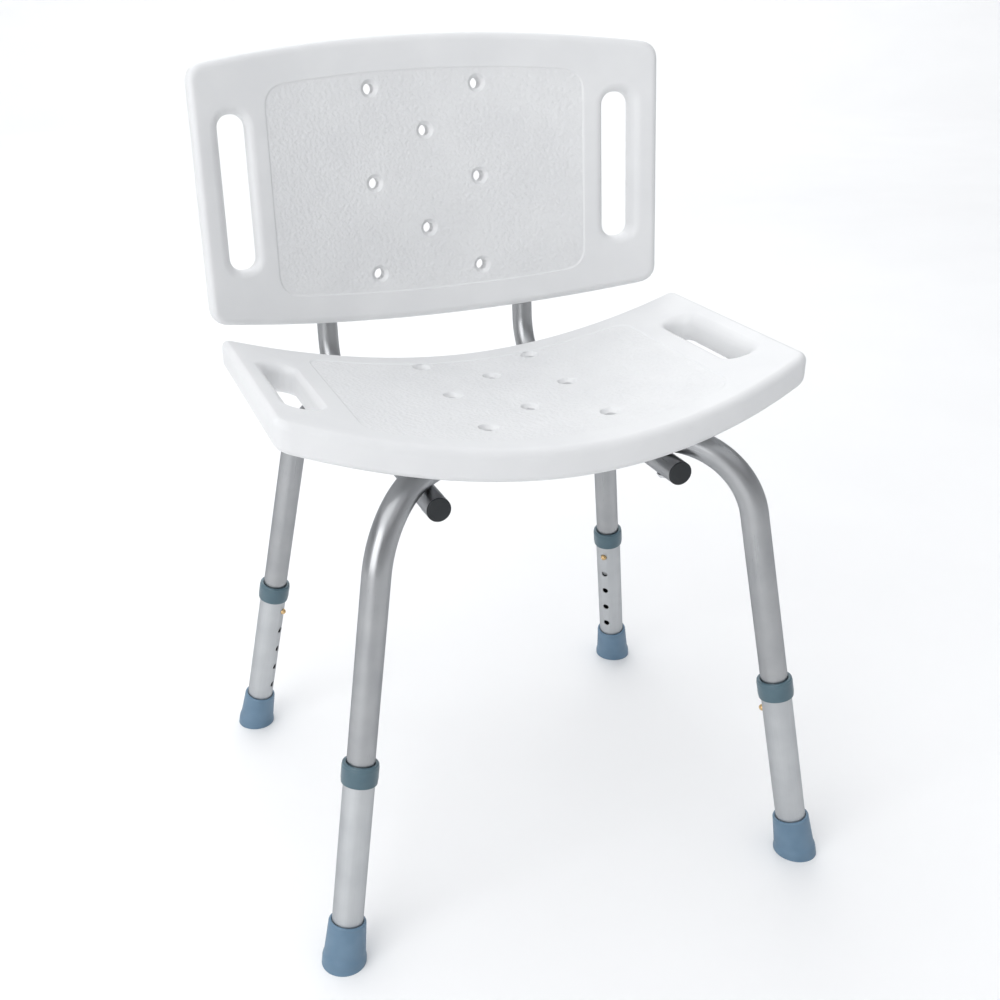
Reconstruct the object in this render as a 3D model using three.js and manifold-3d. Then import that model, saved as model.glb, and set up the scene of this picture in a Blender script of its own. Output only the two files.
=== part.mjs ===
// Shower chair with a back: a moulded seat and back on a bent tube frame whose four legs adjust in
// height. Millimetres, +Z up, the sitter faces -Y. Each mesh is one closed piece.
import * as THREE from 'three';
import { mergeVertices } from 'three/addons/utils/BufferGeometryUtils.js';
import Module from 'manifold-3d';

const wasm = await Module();
wasm.setup();

// Driving sizes
const GAP = 0.3; // clearance between neighbouring pieces
const NEAR = 1e-3; // closer than this counts as the same place

const FRAME = {
  height: 424, // centre of the leg bows above the floor
  crossX: 115, // bolted crossings of the leg bows and the back tubes, either side of the middle
  crossY: 99.5,
  straightPast: 7, // straight tube between a crossing and the start of the leg's bend
  bendRadius: 80,
  splay: 11.73, // degrees that a leg leans outwards
};

const LEG_TUBE = { outer: 25.4, wall: 1.5 };
const SLEEVE_TUBE = { wall: 1.3 };
const BACK_TUBE = { outer: 22.2, wall: 1.5, bendRadius: 60, frontReach: 130.4, topRun: 205 };
const LAP = { half: 21, taper: 26, widen: 1.25, flatShare: 0.6 }; // crimped middle of a leg bow

// Along a leg, measured up its axis from the floor
const LEG = {
  sleeveStart: 9,
  sleeveTop: 196.2,
  buttonAt: 164.9,
  tubeBelowButton: 28,
  pitch: 26,
  holes: 5,
  holeRadius: 3.75,
};

// The collar and the foot fit round the sleeve tube, and their walls stand outside it
const COLLAR = { wall: 2.15, length: 19.6, lip: 2.2, chamfer: 1.4 };
const FOOT = {
  baseWall: 5.9,
  rimWall: 2.65,
  height: 42.3,
  sole: 6.8,
  shoulder: 3.4,
  shoulderIn: 1,
  mouthChamfer: 1.2,
};
const BUTTON = { radius: 3.4, dome: 2.7, flange: 4.6, flangeThick: 1.8, proud: 3.5 };
const CLIP = { thick: 0.8, width: 8, padHalf: 8, loopRadius: 4, rise: 34 };

const SEAT = {
  width: 498.5,
  thickness: 28.9,
  overFrame: 18.2, // seat top above the leg bows, at the middle
  sag: 38.7,
  sagPower: 1.9,
  frontEnd: -113.3, // y of the front edge at the ends, and how far it bows out
  frontBow: 51.9,
  rearEnd: 140.8,
  rearHollow: 16.8,
  corner: 12,
  edge: 6.8,
  wall: 3,
  recessMargin: [27, 27], // behind the front edge, ahead of the rear edge
};
const BACK = {
  width: 499,
  thickness: 24,
  overSeat: 35.3, // end of the lower edge above the middle of the seat top
  faceY: 219.7, // front face at the middle of the lower edge
  endHeight: 247.4,
  topBow: 22,
  bottomBow: 20.4,
  hollow: 43, // how far the ends stand forward of the middle
  tilt: 6.64, // degrees
  corner: 17,
  edge: 6.4,
  wall: 3,
  recessMargin: [29, 33.5], // above the lower edge, below the upper edge
};
const SLOT = { flare: 9, flareDepth: 10, cornerShare: 0.42 };
const SEAT_SLOT = { fromEnd: 38.5, width: 27, length: 128, middleY: 1 };
const BACK_SLOT = { fromEnd: 41, width: 29, length: 151, middle: 125.5 };
const DRAIN = { radius: 5.6, dimple: 9.6, dimpleDepth: 5, behindDepth: 6.5 };
const SEAT_DRAINS = { columnX: 58.1, middleY: -5.9, stepY: 92.1, innerY: 48.5 };
const BACK_DRAINS = { columnX: 58.6, middle: 124.1, step: 93.9, inner: 50 };
const RECESS = { depth: 1, fromEnd: 77, corner: 16 };
const BLOW_HOLE = { radius: 4, x: 165 };

const BOLT = {
  radius: 3,
  head: 4.8,
  headHeight: 2.2,
  washer: 5.8,
  washerThick: 0.8,
  shortOf: 1, // shank's end below the top of its insert
};
const INSERT = { outer: 4.8, length: 12, boss: 8.5 };
const BACK_SCREW = { lower: 62, upper: 182 };
const PLUG = { flange: 1.6, length: 13, reveal: 0.6 };

const SIDES = { tube: 12, round: 16, small: 8, bend: 6, corner: 3, edge: 2, stations: 12 };

// Finishes
const FINISH = {
  panel: { color: 0xeceef0, roughness: 0.5, metalness: 0 },
  tube: { color: 0xc3c6c8, roughness: 0.32, metalness: 0.9 },
  sleeve: { color: 0xb4b8ba, roughness: 0.5, metalness: 0.8 },
  collar: { color: 0x50707e, roughness: 0.45, metalness: 0 },
  foot: { color: 0x6b8ba6, roughness: 0.65, metalness: 0 },
  plug: { color: 0x2f373d, roughness: 0.6, metalness: 0 },
  button: { color: 0xb8935a, roughness: 0.3, metalness: 1 },
  steel: { color: 0x9fa3a6, roughness: 0.35, metalness: 1 },
  brass: { color: 0xb39b55, roughness: 0.4, metalness: 1 },
};

// Sizes that follow from the driving ones
const radians = THREE.MathUtils.degToRad;
const legRadius = LEG_TUBE.outer / 2;
const legBore = legRadius - LEG_TUBE.wall;
const sleeveBore = legRadius + GAP;
const sleeveRadius = sleeveBore + SLEEVE_TUBE.wall;
const overSleeve = sleeveRadius + GAP;
const backRadius = BACK_TUBE.outer / 2;
const diagonal = Math.atan2(FRAME.crossY, FRAME.crossX);
const crossReach = Math.hypot(FRAME.crossX, FRAME.crossY);
const splay = radians(FRAME.splay);
const bendTangent = FRAME.bendRadius * Math.tan((Math.PI / 2 - splay) / 2);
const kneeReach = crossReach + FRAME.straightPast + bendTangent;
const footReach = kneeReach + FRAME.height * Math.tan(splay);
const backTubeHeight = FRAME.height - legRadius - backRadius - GAP;
const seatMiddleTop = FRAME.height + legRadius + SEAT.overFrame;
const backLift = seatMiddleTop + BACK.overSeat;
const boltHole = (BOLT.radius + GAP) / Math.cos(Math.PI / SIDES.small);
const lapHeight = legRadius - GAP / 2; // thickness of one crimped tube where the two bows lap

// How far from the axis a flat piece of this half width sits, clear of the leg tube's bore
const boreFlat = legBore * Math.cos(Math.PI / SIDES.tube);
const insideBore = (halfWidth) => Math.sqrt(boreFlat ** 2 - halfWidth ** 2) - GAP;

// Joining and cutting
function toSolid(geometry) {
  const bare = geometry.clone();
  bare.deleteAttribute('normal');
  bare.deleteAttribute('uv');
  const merged = mergeVertices(bare, NEAR);
  return new wasm.Manifold(
    new wasm.Mesh({
      numProp: 3,
      vertProperties: new Float32Array(merged.attributes.position.array),
      triVerts: new Uint32Array(merged.index.array),
    }),
  );
}

function toGeometry(solid) {
  const mesh = solid.getMesh();
  const geometry = new THREE.BufferGeometry();
  geometry.setAttribute('position', new THREE.BufferAttribute(mesh.vertProperties, 3));
  geometry.setIndex(new THREE.BufferAttribute(mesh.triVerts, 1));
  return geometry;
}

const cut = (body, ...tools) => tools.flat().reduce((left, tool) => left.subtract(tool), body);

// A round bar between two points, used for shanks and for drilling
function bar(radius, from, to, sides = SIDES.small) {
  const span = new THREE.Vector3().subVectors(to, from);
  const geometry = new THREE.CylinderGeometry(radius, radius, span.length(), sides);
  const turn = new THREE.Quaternion().setFromUnitVectors(
    new THREE.Vector3(0, 1, 0),
    span.clone().normalize(),
  );
  geometry.applyQuaternion(turn);
  geometry.translate(...new THREE.Vector3().addVectors(from, to).multiplyScalar(0.5).toArray());
  return toSolid(geometry);
}

// A drilled or moulded hole that clears a round of this radius: its flats touch the circle
const bore = (radius, from, to, sides = SIDES.small) =>
  bar(radius / Math.cos(Math.PI / sides), from, to, sides);

const at = (x, y, z) => new THREE.Vector3(x, y, z);

// A turned piece: [radius, height] points around +Z, closed on the axis or on itself
function turned(profile, sides = SIDES.round) {
  const points = profile.map(([r, z]) => new THREE.Vector2(r, z));
  const geometry = new THREE.LatheGeometry(points, sides);
  geometry.rotateX(Math.PI / 2);
  return geometry;
}

// A path of straight runs and round bends, with a station at each end of a run and along each bend
class BentPath extends THREE.Curve {
  constructor(corners, bendRadius, planeNormal, extra = () => []) {
    super();
    this.normal = planeNormal;
    this.stations = [];
    let start = corners[0];
    for (let i = 1; i < corners.length - 1; i += 1) {
      start = this.bend(start, corners[i], corners[i + 1], bendRadius, extra);
    }
    this.run(start, corners.at(-1), extra);
  }

  run(from, to, extra) {
    const tangent = new THREE.Vector3().subVectors(to, from).normalize();
    const length = from.distanceTo(to);
    for (const distance of [0, ...extra(from, tangent, length), length]) {
      this.stations.push({ point: from.clone().addScaledVector(tangent, distance), tangent });
    }
  }

  bend(from, corner, next, radius, extra) {
    const into = new THREE.Vector3().subVectors(corner, from).normalize();
    const out = new THREE.Vector3().subVectors(next, corner).normalize();
    const angle = into.angleTo(out);
    const setback = radius * Math.tan(angle / 2);
    const first = corner.clone().addScaledVector(into, -setback);
    this.run(from, first, extra);
    const inward = out.clone().addScaledVector(into, -out.dot(into)).normalize();
    const centre = first.clone().addScaledVector(inward, radius);
    for (let i = 1; i < SIDES.bend; i += 1) {
      const turn = (angle * i) / SIDES.bend;
      const point = centre.clone();
      point.addScaledVector(inward, -radius * Math.cos(turn));
      point.addScaledVector(into, radius * Math.sin(turn));
      const tangent = into.clone().multiplyScalar(Math.cos(turn));
      tangent.addScaledVector(inward, Math.sin(turn));
      this.stations.push({ point, tangent });
    }
    return corner.clone().addScaledVector(out, setback);
  }

  get steps() {
    return this.stations.length - 1;
  }

  getPointAt(share) {
    return this.stations[Math.round(share * this.steps)].point.clone();
  }

  computeFrenetFrames() {
    const tangents = this.stations.map((station) => station.tangent);
    const normals = tangents.map(() => this.normal);
    const binormals = tangents.map((t) => new THREE.Vector3().crossVectors(t, this.normal));
    return { tangents, normals, binormals };
  }
}

function ring(outer, inner, sides = SIDES.tube) {
  const circle = (radius) =>
    Array.from({ length: sides }, (_, i) => {
      const angle = (2 * Math.PI * (i + 0.5)) / sides;
      return new THREE.Vector2(radius * Math.cos(angle), radius * Math.sin(angle));
    });
  const shape = new THREE.Shape(circle(outer));
  shape.holes.push(new THREE.Path(circle(inner)));
  return shape;
}

const sweep = (shape, path) =>
  new THREE.ExtrudeGeometry(shape, { steps: path.steps, extrudePath: path });

function moveVertices(geometry, move) {
  const position = geometry.attributes.position;
  const point = new THREE.Vector3();
  for (let i = 0; i < position.count; i += 1) {
    point.fromBufferAttribute(position, i);
    move(point);
    position.setXYZ(i, point.x, point.y, point.z);
  }
  return geometry;
}

// Leg bows: one tube each, from one foot over the middle to the opposite foot
const bowDirection = (side) => at(Math.cos(diagonal), side * Math.sin(diagonal), 0);
const lapReach = LAP.half + LAP.taper;

function bowPath(direction) {
  const tubeEnd = LEG.buttonAt - LEG.tubeBelowButton;
  const endReach = footReach - tubeEnd * Math.sin(splay);
  const endHeight = tubeEnd * Math.cos(splay);
  const corner = (reach, height) => direction.clone().multiplyScalar(reach).setZ(height);
  const corners = [
    corner(-endReach, endHeight),
    corner(-kneeReach, FRAME.height),
    corner(kneeReach, FRAME.height),
    corner(endReach, endHeight),
  ];
  const planeNormal = at(0, 0, 1).cross(direction);
  const lapStations = (from, tangent, length) => {
    if (Math.abs(tangent.z) > NEAR) return [];
    const offsets = [-lapReach, -LAP.half - LAP.taper / 2, -LAP.half];
    return [...offsets, ...offsets.map((offset) => -offset).reverse()].map((o) => length / 2 + o);
  };
  return new BentPath(corners, FRAME.bendRadius, planeNormal, lapStations);
}

// Crimps the middle of a bow into the upper or lower half of its own height
function crimp(geometry, direction, half) {
  const across = at(0, 0, 1).cross(direction);
  return moveVertices(geometry, (p) => {
    const along = Math.abs(p.dot(direction));
    if (along > lapReach || p.z < FRAME.height - 2 * legRadius) return;
    const flatness = 1 - THREE.MathUtils.smoothstep(along, LAP.half, lapReach);
    const side = p.dot(across);
    const rise = p.z - FRAME.height;
    const isOuter = Math.hypot(side, rise) > (legRadius + legBore) / 2;
    const radius = isOuter ? legRadius : legBore;
    const flatHalf = lapHeight / 2 - (isOuter ? 0 : LEG_TUBE.wall);
    const wide = legRadius * LAP.widen - (isOuter ? 0 : LEG_TUBE.wall);
    const level = Math.min(1, Math.abs(rise) / radius / LAP.flatShare);
    const flatRise = Math.sign(rise) * flatHalf * level + half * (lapHeight + GAP) * 0.5;
    p.addScaledVector(across, side * (wide / radius - 1) * flatness);
    p.z = FRAME.height + THREE.MathUtils.lerp(rise, flatRise, flatness);
  });
}

// Frame of one leg: origin on the floor under its axis, +Z up the leg, +X towards the chair's middle
function legFrame([sx, sy]) {
  const out = at(sx * Math.cos(diagonal), sy * Math.sin(diagonal), 0);
  const up = out.clone().multiplyScalar(-Math.sin(splay)).setZ(Math.cos(splay));
  const inward = out.clone().multiplyScalar(-Math.cos(splay)).setZ(-Math.sin(splay));
  const matrix = new THREE.Matrix4().makeBasis(inward, up.clone().cross(inward), up);
  return matrix.setPosition(out.multiplyScalar(footReach));
}

// Signs of x and y at each corner: front or rear, left or right
const CORNERS = {
  fl: [-1, -1],
  fr: [1, -1],
  rl: [-1, 1],
  rr: [1, 1],
};

const HANDS = { left: -1, right: 1 };

const crossingAt = ([sx, sy], z) => at(sx * FRAME.crossX, sy * FRAME.crossY, z);

function legBow(side, half) {
  const direction = bowDirection(side);
  const tube = toSolid(
    crimp(sweep(ring(legRadius, legBore), bowPath(direction)), direction, half),
  );
  const below = FRAME.height - 2 * legRadius;
  const above = FRAME.height + 2 * legRadius;
  const boltHoles = [-1, 0, 1].map((end) => {
    const reach = direction.clone().multiplyScalar(end * crossReach);
    return bar(boltHole, reach.clone().setZ(below), reach.clone().setZ(above));
  });
  const buttonHoles = Object.values(CORNERS)
    .filter(([sx, sy]) => sx * sy === side)
    .map((signs) => {
      const frame = legFrame(signs);
      const axis = at(0, 0, LEG.buttonAt).applyMatrix4(frame);
      const outside = at(2 * legRadius, 0, LEG.buttonAt).applyMatrix4(frame);
      return bore(BUTTON.radius + GAP, axis, outside);
    });
  return toGeometry(cut(tube, boltHoles, buttonHoles));
}

// Back tubes: forward under the bows, then up behind the back panel
const tilt = radians(BACK.tilt);
const backFrame = new THREE.Matrix4().makeRotationX(-tilt).setPosition(0, BACK.faceY, backLift);
const backBend = (x) => -BACK.hollow * (x / (BACK.width / 2)) ** 2;
const backTubeBehind = backBend(FRAME.crossX) + BACK.thickness + backRadius + GAP;

function backTubePath(x) {
  const top = at(x, backTubeBehind, BACK_TUBE.topRun).applyMatrix4(backFrame);
  const rise = (top.z - backTubeHeight) / Math.cos(tilt);
  const corner = at(x, top.y - rise * Math.sin(tilt), backTubeHeight);
  const front = at(x, -BACK_TUBE.frontReach + PLUG.flange, backTubeHeight);
  return new BentPath([front, corner, top], BACK_TUBE.bendRadius, at(1, 0, 0));
}

function backTube(x) {
  const tube = toSolid(sweep(ring(backRadius, backRadius - BACK_TUBE.wall), backTubePath(x)));
  const holes = [-1, 1].map((sy) => {
    const y = sy * FRAME.crossY;
    const below = at(x, y, backTubeHeight - 2 * backRadius);
    return bar(boltHole, below, at(x, y, backTubeHeight + 2 * backRadius));
  });
  const screwHoles = [BACK_SCREW.lower, BACK_SCREW.upper].map((height) =>
    bar(
      boltHole,
      at(x, backTubeBehind - 2 * backRadius, height).applyMatrix4(backFrame),
      at(x, backTubeBehind + 2 * backRadius, height).applyMatrix4(backFrame),
    ),
  );
  return toGeometry(cut(tube, holes, screwHoles));
}

// End plug, its spigot pointing up +Z from the flange
function tubePlug() {
  const spigot = (backRadius - BACK_TUBE.wall) * Math.cos(Math.PI / SIDES.tube) - GAP;
  return turned(
    [
      [0, 0],
      [backRadius - PLUG.reveal, 0],
      [backRadius, PLUG.reveal],
      [backRadius, PLUG.flange - GAP],
      [spigot, PLUG.flange - GAP],
      [spigot, PLUG.length],
      [0, PLUG.length],
    ],
    SIDES.tube,
  );
}

// Sleeve tube, which slides over the leg tube, with its row of button holes facing inwards
function sleeve() {
  const length = LEG.sleeveTop - LEG.sleeveStart;
  const tube = new THREE.ExtrudeGeometry(ring(sleeveRadius, sleeveBore), {
    depth: length,
    bevelEnabled: false,
  });
  tube.translate(0, 0, LEG.sleeveStart);
  const holes = Array.from({ length: LEG.holes }, (_, i) => {
    const height = LEG.buttonAt - i * LEG.pitch;
    return bore(LEG.holeRadius, at(legBore, 0, height), at(2 * sleeveRadius, 0, height));
  });
  return toGeometry(cut(toSolid(tube), holes));
}

function collar() {
  const top = LEG.sleeveTop + GAP + COLLAR.lip;
  const bottom = top - COLLAR.length;
  const outer = overSleeve + COLLAR.wall;
  const mouth = legRadius + GAP;
  return turned([
    [overSleeve, bottom],
    [outer, bottom],
    [outer, top - COLLAR.chamfer],
    [outer - COLLAR.chamfer, top],
    [mouth, top],
    [mouth, LEG.sleeveTop + GAP],
    [overSleeve, LEG.sleeveTop + GAP],
    [overSleeve, bottom],
  ]);
}

function foot(frame) {
  const outer = overSleeve + FOOT.baseWall;
  const rim = overSleeve + FOOT.rimWall;
  const low = -2 * outer * Math.tan(splay);
  const shoulder = FOOT.sole + FOOT.shoulder;
  const body = toSolid(
    turned([
      [0, low],
      [outer, low],
      [outer, FOOT.sole],
      [outer - FOOT.shoulderIn, shoulder],
      [rim, FOOT.height - FOOT.mouthChamfer],
      [rim - FOOT.mouthChamfer, FOOT.height],
      [overSleeve, FOOT.height],
      [overSleeve, LEG.sleeveStart - GAP],
      [0, LEG.sleeveStart - GAP],
    ]),
  );
  const ground = new THREE.BoxGeometry(8 * outer, 8 * outer, 2 * outer);
  ground.translate(0, 0, -outer);
  const toLeg = frame.clone().setPosition(0, 0, 0).invert();
  ground.applyMatrix4(toLeg);
  return toGeometry(cut(body, toSolid(ground)));
}

// Snap button: a domed pin through both tubes, its flange inside the leg tube
function snapButton() {
  const tip = sleeveRadius + BUTTON.proud;
  const flangeTop = insideBore(BUTTON.flange);
  const flangeBottom = flangeTop - BUTTON.flangeThick;
  const dome = Array.from({ length: SIDES.corner + 1 }, (_, i) => {
    const angle = (Math.PI * i) / (2 * SIDES.corner);
    const rise = BUTTON.dome * (Math.sin(angle) - 1);
    return [BUTTON.radius * Math.cos(angle), tip + rise];
  });
  dome[SIDES.corner][0] = 0;
  const geometry = turned(
    [
      [0, flangeBottom],
      [BUTTON.flange, flangeBottom],
      [BUTTON.flange, flangeTop],
      [BUTTON.radius, flangeTop],
      ...dome,
    ],
    SIDES.small,
  );
  geometry.rotateY(Math.PI / 2);
  geometry.translate(0, 0, LEG.buttonAt);
  return geometry;
}

// Spring clip: a folded strip in the leg tube that pushes the button out
function springClip() {
  const flangeBottom = insideBore(BUTTON.flange) - BUTTON.flangeThick;
  const arm = flangeBottom - GAP - CLIP.thick / 2;
  const wallArm = CLIP.thick / 2 - insideBore(CLIP.width / 2);
  const loopX = (arm + wallArm) / 2;
  const loop = Array.from({ length: SIDES.bend + 1 }, (_, i) => {
    const angle = (Math.PI * i) / SIDES.bend;
    const rise = CLIP.rise + CLIP.loopRadius * Math.sin(angle);
    return [loopX + CLIP.loopRadius * Math.cos(angle), rise];
  });
  const line = [
    [arm, -CLIP.padHalf],
    [arm, CLIP.padHalf],
    ...loop,
    [wallArm, CLIP.padHalf],
    [wallArm, -CLIP.padHalf],
  ];
  const geometry = new THREE.ExtrudeGeometry(strip(line, CLIP.thick / 2), {
    depth: CLIP.width,
    bevelEnabled: false,
  });
  geometry.translate(0, 0, -CLIP.width / 2);
  geometry.rotateX(Math.PI / 2);
  geometry.translate(0, 0, LEG.buttonAt);
  return geometry;
}

// Outline of a strip that follows a line of points, offset to both sides
function strip(line, offset) {
  const points = line.map(([x, y]) => new THREE.Vector2(x, y));
  const side = (sign) =>
    points.map((point, i) => {
      const before = points[Math.max(i - 1, 0)];
      const after = points[Math.min(i + 1, points.length - 1)];
      const into = new THREE.Vector2().subVectors(i ? point : after, i ? before : point).normalize();
      const out = i < points.length - 1
        ? new THREE.Vector2().subVectors(after, point).normalize()
        : into.clone();
      const mid = into.clone().add(out).normalize();
      const reach = (sign * offset) / mid.dot(out);
      return new THREE.Vector2(point.x - mid.y * reach, point.y + mid.x * reach);
    });
  return new THREE.Shape([...side(1), ...side(-1).reverse()]);
}

// Moulded panels: drawn flat as outline (x along the width, y across), then sheared to their curve
const parabola = (half, end, bow) => (x) => end + bow * (1 - (x / half) ** 2);

function panelOutline(half, lower, upper, corner) {
  const reach = half - corner;
  const edge = (curve, from, to) =>
    Array.from({ length: SIDES.stations + 1 }, (_, i) => {
      const x = from + ((to - from) * i) / SIDES.stations;
      return new THREE.Vector2(x, curve(x));
    });
  const round = (x, curve, sign, flip) => {
    const start = new THREE.Vector2(Math.sign(x) * reach, curve(reach));
    const knee = new THREE.Vector2(x, curve(half));
    const end = new THREE.Vector2(x, curve(half) + sign * corner);
    const arc = new THREE.QuadraticBezierCurve(start, knee, end).getPoints(SIDES.corner);
    return (flip ? arc.reverse() : arc).slice(1, -1);
  };
  const ends = (x, curve, sign) => new THREE.Vector2(x, curve(half) + sign * corner);
  return [
    ...edge(lower, -reach, reach),
    ...round(half, lower, 1, false),
    ends(half, lower, 1),
    ends(half, upper, -1),
    ...round(half, upper, -1, true),
    ...edge(upper, reach, -reach),
    ...round(-half, upper, -1, false),
    ends(-half, upper, -1),
    ends(-half, lower, 1),
    ...round(-half, lower, 1, true),
  ];
}

function slotPath(x, y, width, length) {
  const radius = width * SLOT.cornerShare;
  const dx = width / 2 - radius;
  const dy = length / 2 - radius;
  const path = new THREE.Path();
  path.absarc(x + dx, y + dy, radius, 0, Math.PI / 2);
  path.absarc(x - dx, y + dy, radius, Math.PI / 2, Math.PI);
  path.absarc(x - dx, y - dy, radius, Math.PI, 1.5 * Math.PI);
  path.absarc(x + dx, y - dy, radius, 1.5 * Math.PI, 2 * Math.PI);
  return path.getPoints(SIDES.corner + 1).slice(0, -1);
}

// A flat slab from a closed outline between two heights, its edges rounded by edge
function slab(points, bottom, top, edge = 0, holes = []) {
  const shape = new THREE.Shape(points);
  shape.holes = holes.map((hole) => new THREE.Path(hole));
  const geometry = new THREE.ExtrudeGeometry(shape, {
    depth: top - bottom - 2 * edge,
    bevelEnabled: edge > 0,
    bevelSize: edge,
    bevelThickness: edge,
    bevelOffset: -edge,
    bevelSegments: SIDES.edge,
  });
  return geometry.translate(0, 0, bottom + edge);
}

// A slot's cutter: straight sides with a flare that opens at each face
function slotCutter({ x, y, width, length }, thickness) {
  const through = slotPath(x, y, width, length);
  const core = toSolid(slab(through, -2 * thickness, thickness));
  const mouth = (sign) => {
    const wide = width + 2 * SLOT.flare;
    const long = length + 2 * SLOT.flare;
    const face = sign > 0 ? 0 : -thickness;
    const geometry = slab(
      slotPath(x, y, wide, long),
      face - SLOT.flareDepth,
      face + SLOT.flareDepth,
    );
    moveVertices(geometry, (p) => {
      if ((p.z - face) * sign > 0) return;
      p.x = x + ((p.x - x) * (width - GAP)) / wide;
      p.y = y + ((p.y - y) * (length - GAP)) / long;
    });
    return toSolid(geometry);
  };
  return core.add(mouth(1)).add(mouth(-1));
}

// A drain's cutter: a through hole between a dimple in each face
function drainCutter([x, y], thickness) {
  const geometry = turned(
    [
      [0, -2 * thickness],
      [DRAIN.dimple, -2 * thickness],
      [DRAIN.dimple, -thickness],
      [DRAIN.radius, DRAIN.behindDepth - thickness],
      [DRAIN.radius, -DRAIN.dimpleDepth],
      [DRAIN.dimple, 0],
      [DRAIN.dimple, thickness],
      [0, thickness],
    ],
    SIDES.small,
  );
  return toSolid(geometry.translate(x, y, 0));
}

// Cuts a flat panel into strips along x and sews their skins together again, so that its faces
// can follow a curve. Where one strip has a corner on the shared edge of its neighbour, the
// neighbour's triangle is split there.
function sliceAlongX(solid, stations) {
  const limits = [-Infinity, ...stations, Infinity];
  const strips = limits.slice(1).map((right, i) => {
    const cutLeft = i ? solid.trimByPlane([1, 0, 0], limits[i]) : solid;
    return right < Infinity ? cutLeft.trimByPlane([-1, 0, 0], -right) : cutLeft;
  });
  const onCut = (corner, station) => Math.abs(corner.x - station) < NEAR;
  const triangles = strips.flatMap((strip) => {
    const { vertProperties, triVerts } = strip.getMesh();
    const corners = [...triVerts].map((v) => at(...vertProperties.slice(3 * v, 3 * v + 3)));
    return corners.filter((_, i) => i % 3 === 0).map((_, i) => corners.slice(3 * i, 3 * i + 3));
  });
  let skin = triangles.filter((t) => !stations.some((s) => t.every((corner) => onCut(corner, s))));
  for (const station of stations) {
    const shared = new Map();
    for (const corner of skin.flat().filter((c) => onCut(c, station))) {
      shared.set(`${corner.y.toFixed(3)} ${corner.z.toFixed(3)}`, corner);
    }
    skin = skin.flatMap((triangle) => {
      const apex = triangle.findIndex((corner) => !onCut(corner, station));
      const [from, to] = [triangle[(apex + 1) % 3], triangle[(apex + 2) % 3]];
      if (!onCut(from, station) || !onCut(to, station)) return [triangle];
      const length = from.distanceTo(to);
      const between = [...shared.values()]
        .filter((c) => c.distanceTo(from) > NEAR && c.distanceTo(to) > NEAR)
        .filter((c) => c.distanceTo(from) + c.distanceTo(to) < length + NEAR * NEAR)
        .sort((p, q) => p.distanceTo(from) - q.distanceTo(from));
      const edge = [from, ...between, to];
      return edge.slice(1).map((next, i) => [triangle[apex], edge[i], next]);
    });
  }
  return new THREE.BufferGeometry().setFromPoints(skin.flat());
}

const stationsAcross = (half) =>
  Array.from({ length: SIDES.stations - 1 }, (_, i) => {
    const share = (i + 1) / SIDES.stations;
    return half * (2 * share - 1);
  });

// A hollow panel: outer form with slots, drains and recess, and the space inside its walls.
// Both are drawn with the sitter's face at z = 0 and then follow the curve.
function hollowPanel(size, lower, upper, slots, drains, follow, keepSolid) {
  const half = size.width / 2;
  const outer = toSolid(
    slab(panelOutline(half, lower, upper, size.corner), -size.thickness, 0, size.edge),
  );
  const inset = (curve, amount) => (x) => curve(x) + amount;
  const [lowerMargin, upperMargin] = size.recessMargin;
  const recess = toSolid(
    slab(
      panelOutline(
        half - RECESS.fromEnd,
        inset(lower, lowerMargin),
        inset(upper, -upperMargin),
        RECESS.corner,
      ),
      -RECESS.depth,
      RECESS.depth,
    ),
  );
  const shaped = cut(
    outer,
    recess,
    slots.map((slot) => slotCutter(slot, size.thickness)),
    drains.map((drain) => drainCutter(drain, size.thickness)),
  );
  const sleeveRound = ([x, y]) =>
    new THREE.Path().absarc(x, y, DRAIN.dimple + size.wall / 2, 0, 2 * Math.PI);
  const slotWall = 2 * (SLOT.flare + size.wall / 2);
  const holes = [
    ...drains.map((drain) => sleeveRound(drain).getPoints(SIDES.small / 2).slice(0, -1)),
    ...slots.map(({ x, y, width, length }) =>
      slotPath(x, y, width + slotWall, length + slotWall),
    ),
  ];
  const innerLower = inset(lower, size.wall);
  const innerUpper = inset(upper, -size.wall);
  const space = toSolid(
    slab(
      panelOutline(half - size.wall, innerLower, innerUpper, size.corner),
      size.wall - size.thickness,
      -size.wall - RECESS.depth,
      0,
      holes,
    ),
  );
  const curved = (solid) => {
    const geometry = sliceAlongX(solid, stationsAcross(half));
    return toSolid(moveVertices(geometry, follow));
  };
  return curved(shaped).subtract(cut(curved(space), keepSolid));
}

// Seat panel
const seatSag = (x) => SEAT.sag * Math.abs(x / (SEAT.width / 2)) ** SEAT.sagPower;
const seatTop = (x) => seatMiddleTop + seatSag(x);
const insertTop = (radius) => FRAME.height + radius + GAP + INSERT.length;

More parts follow.
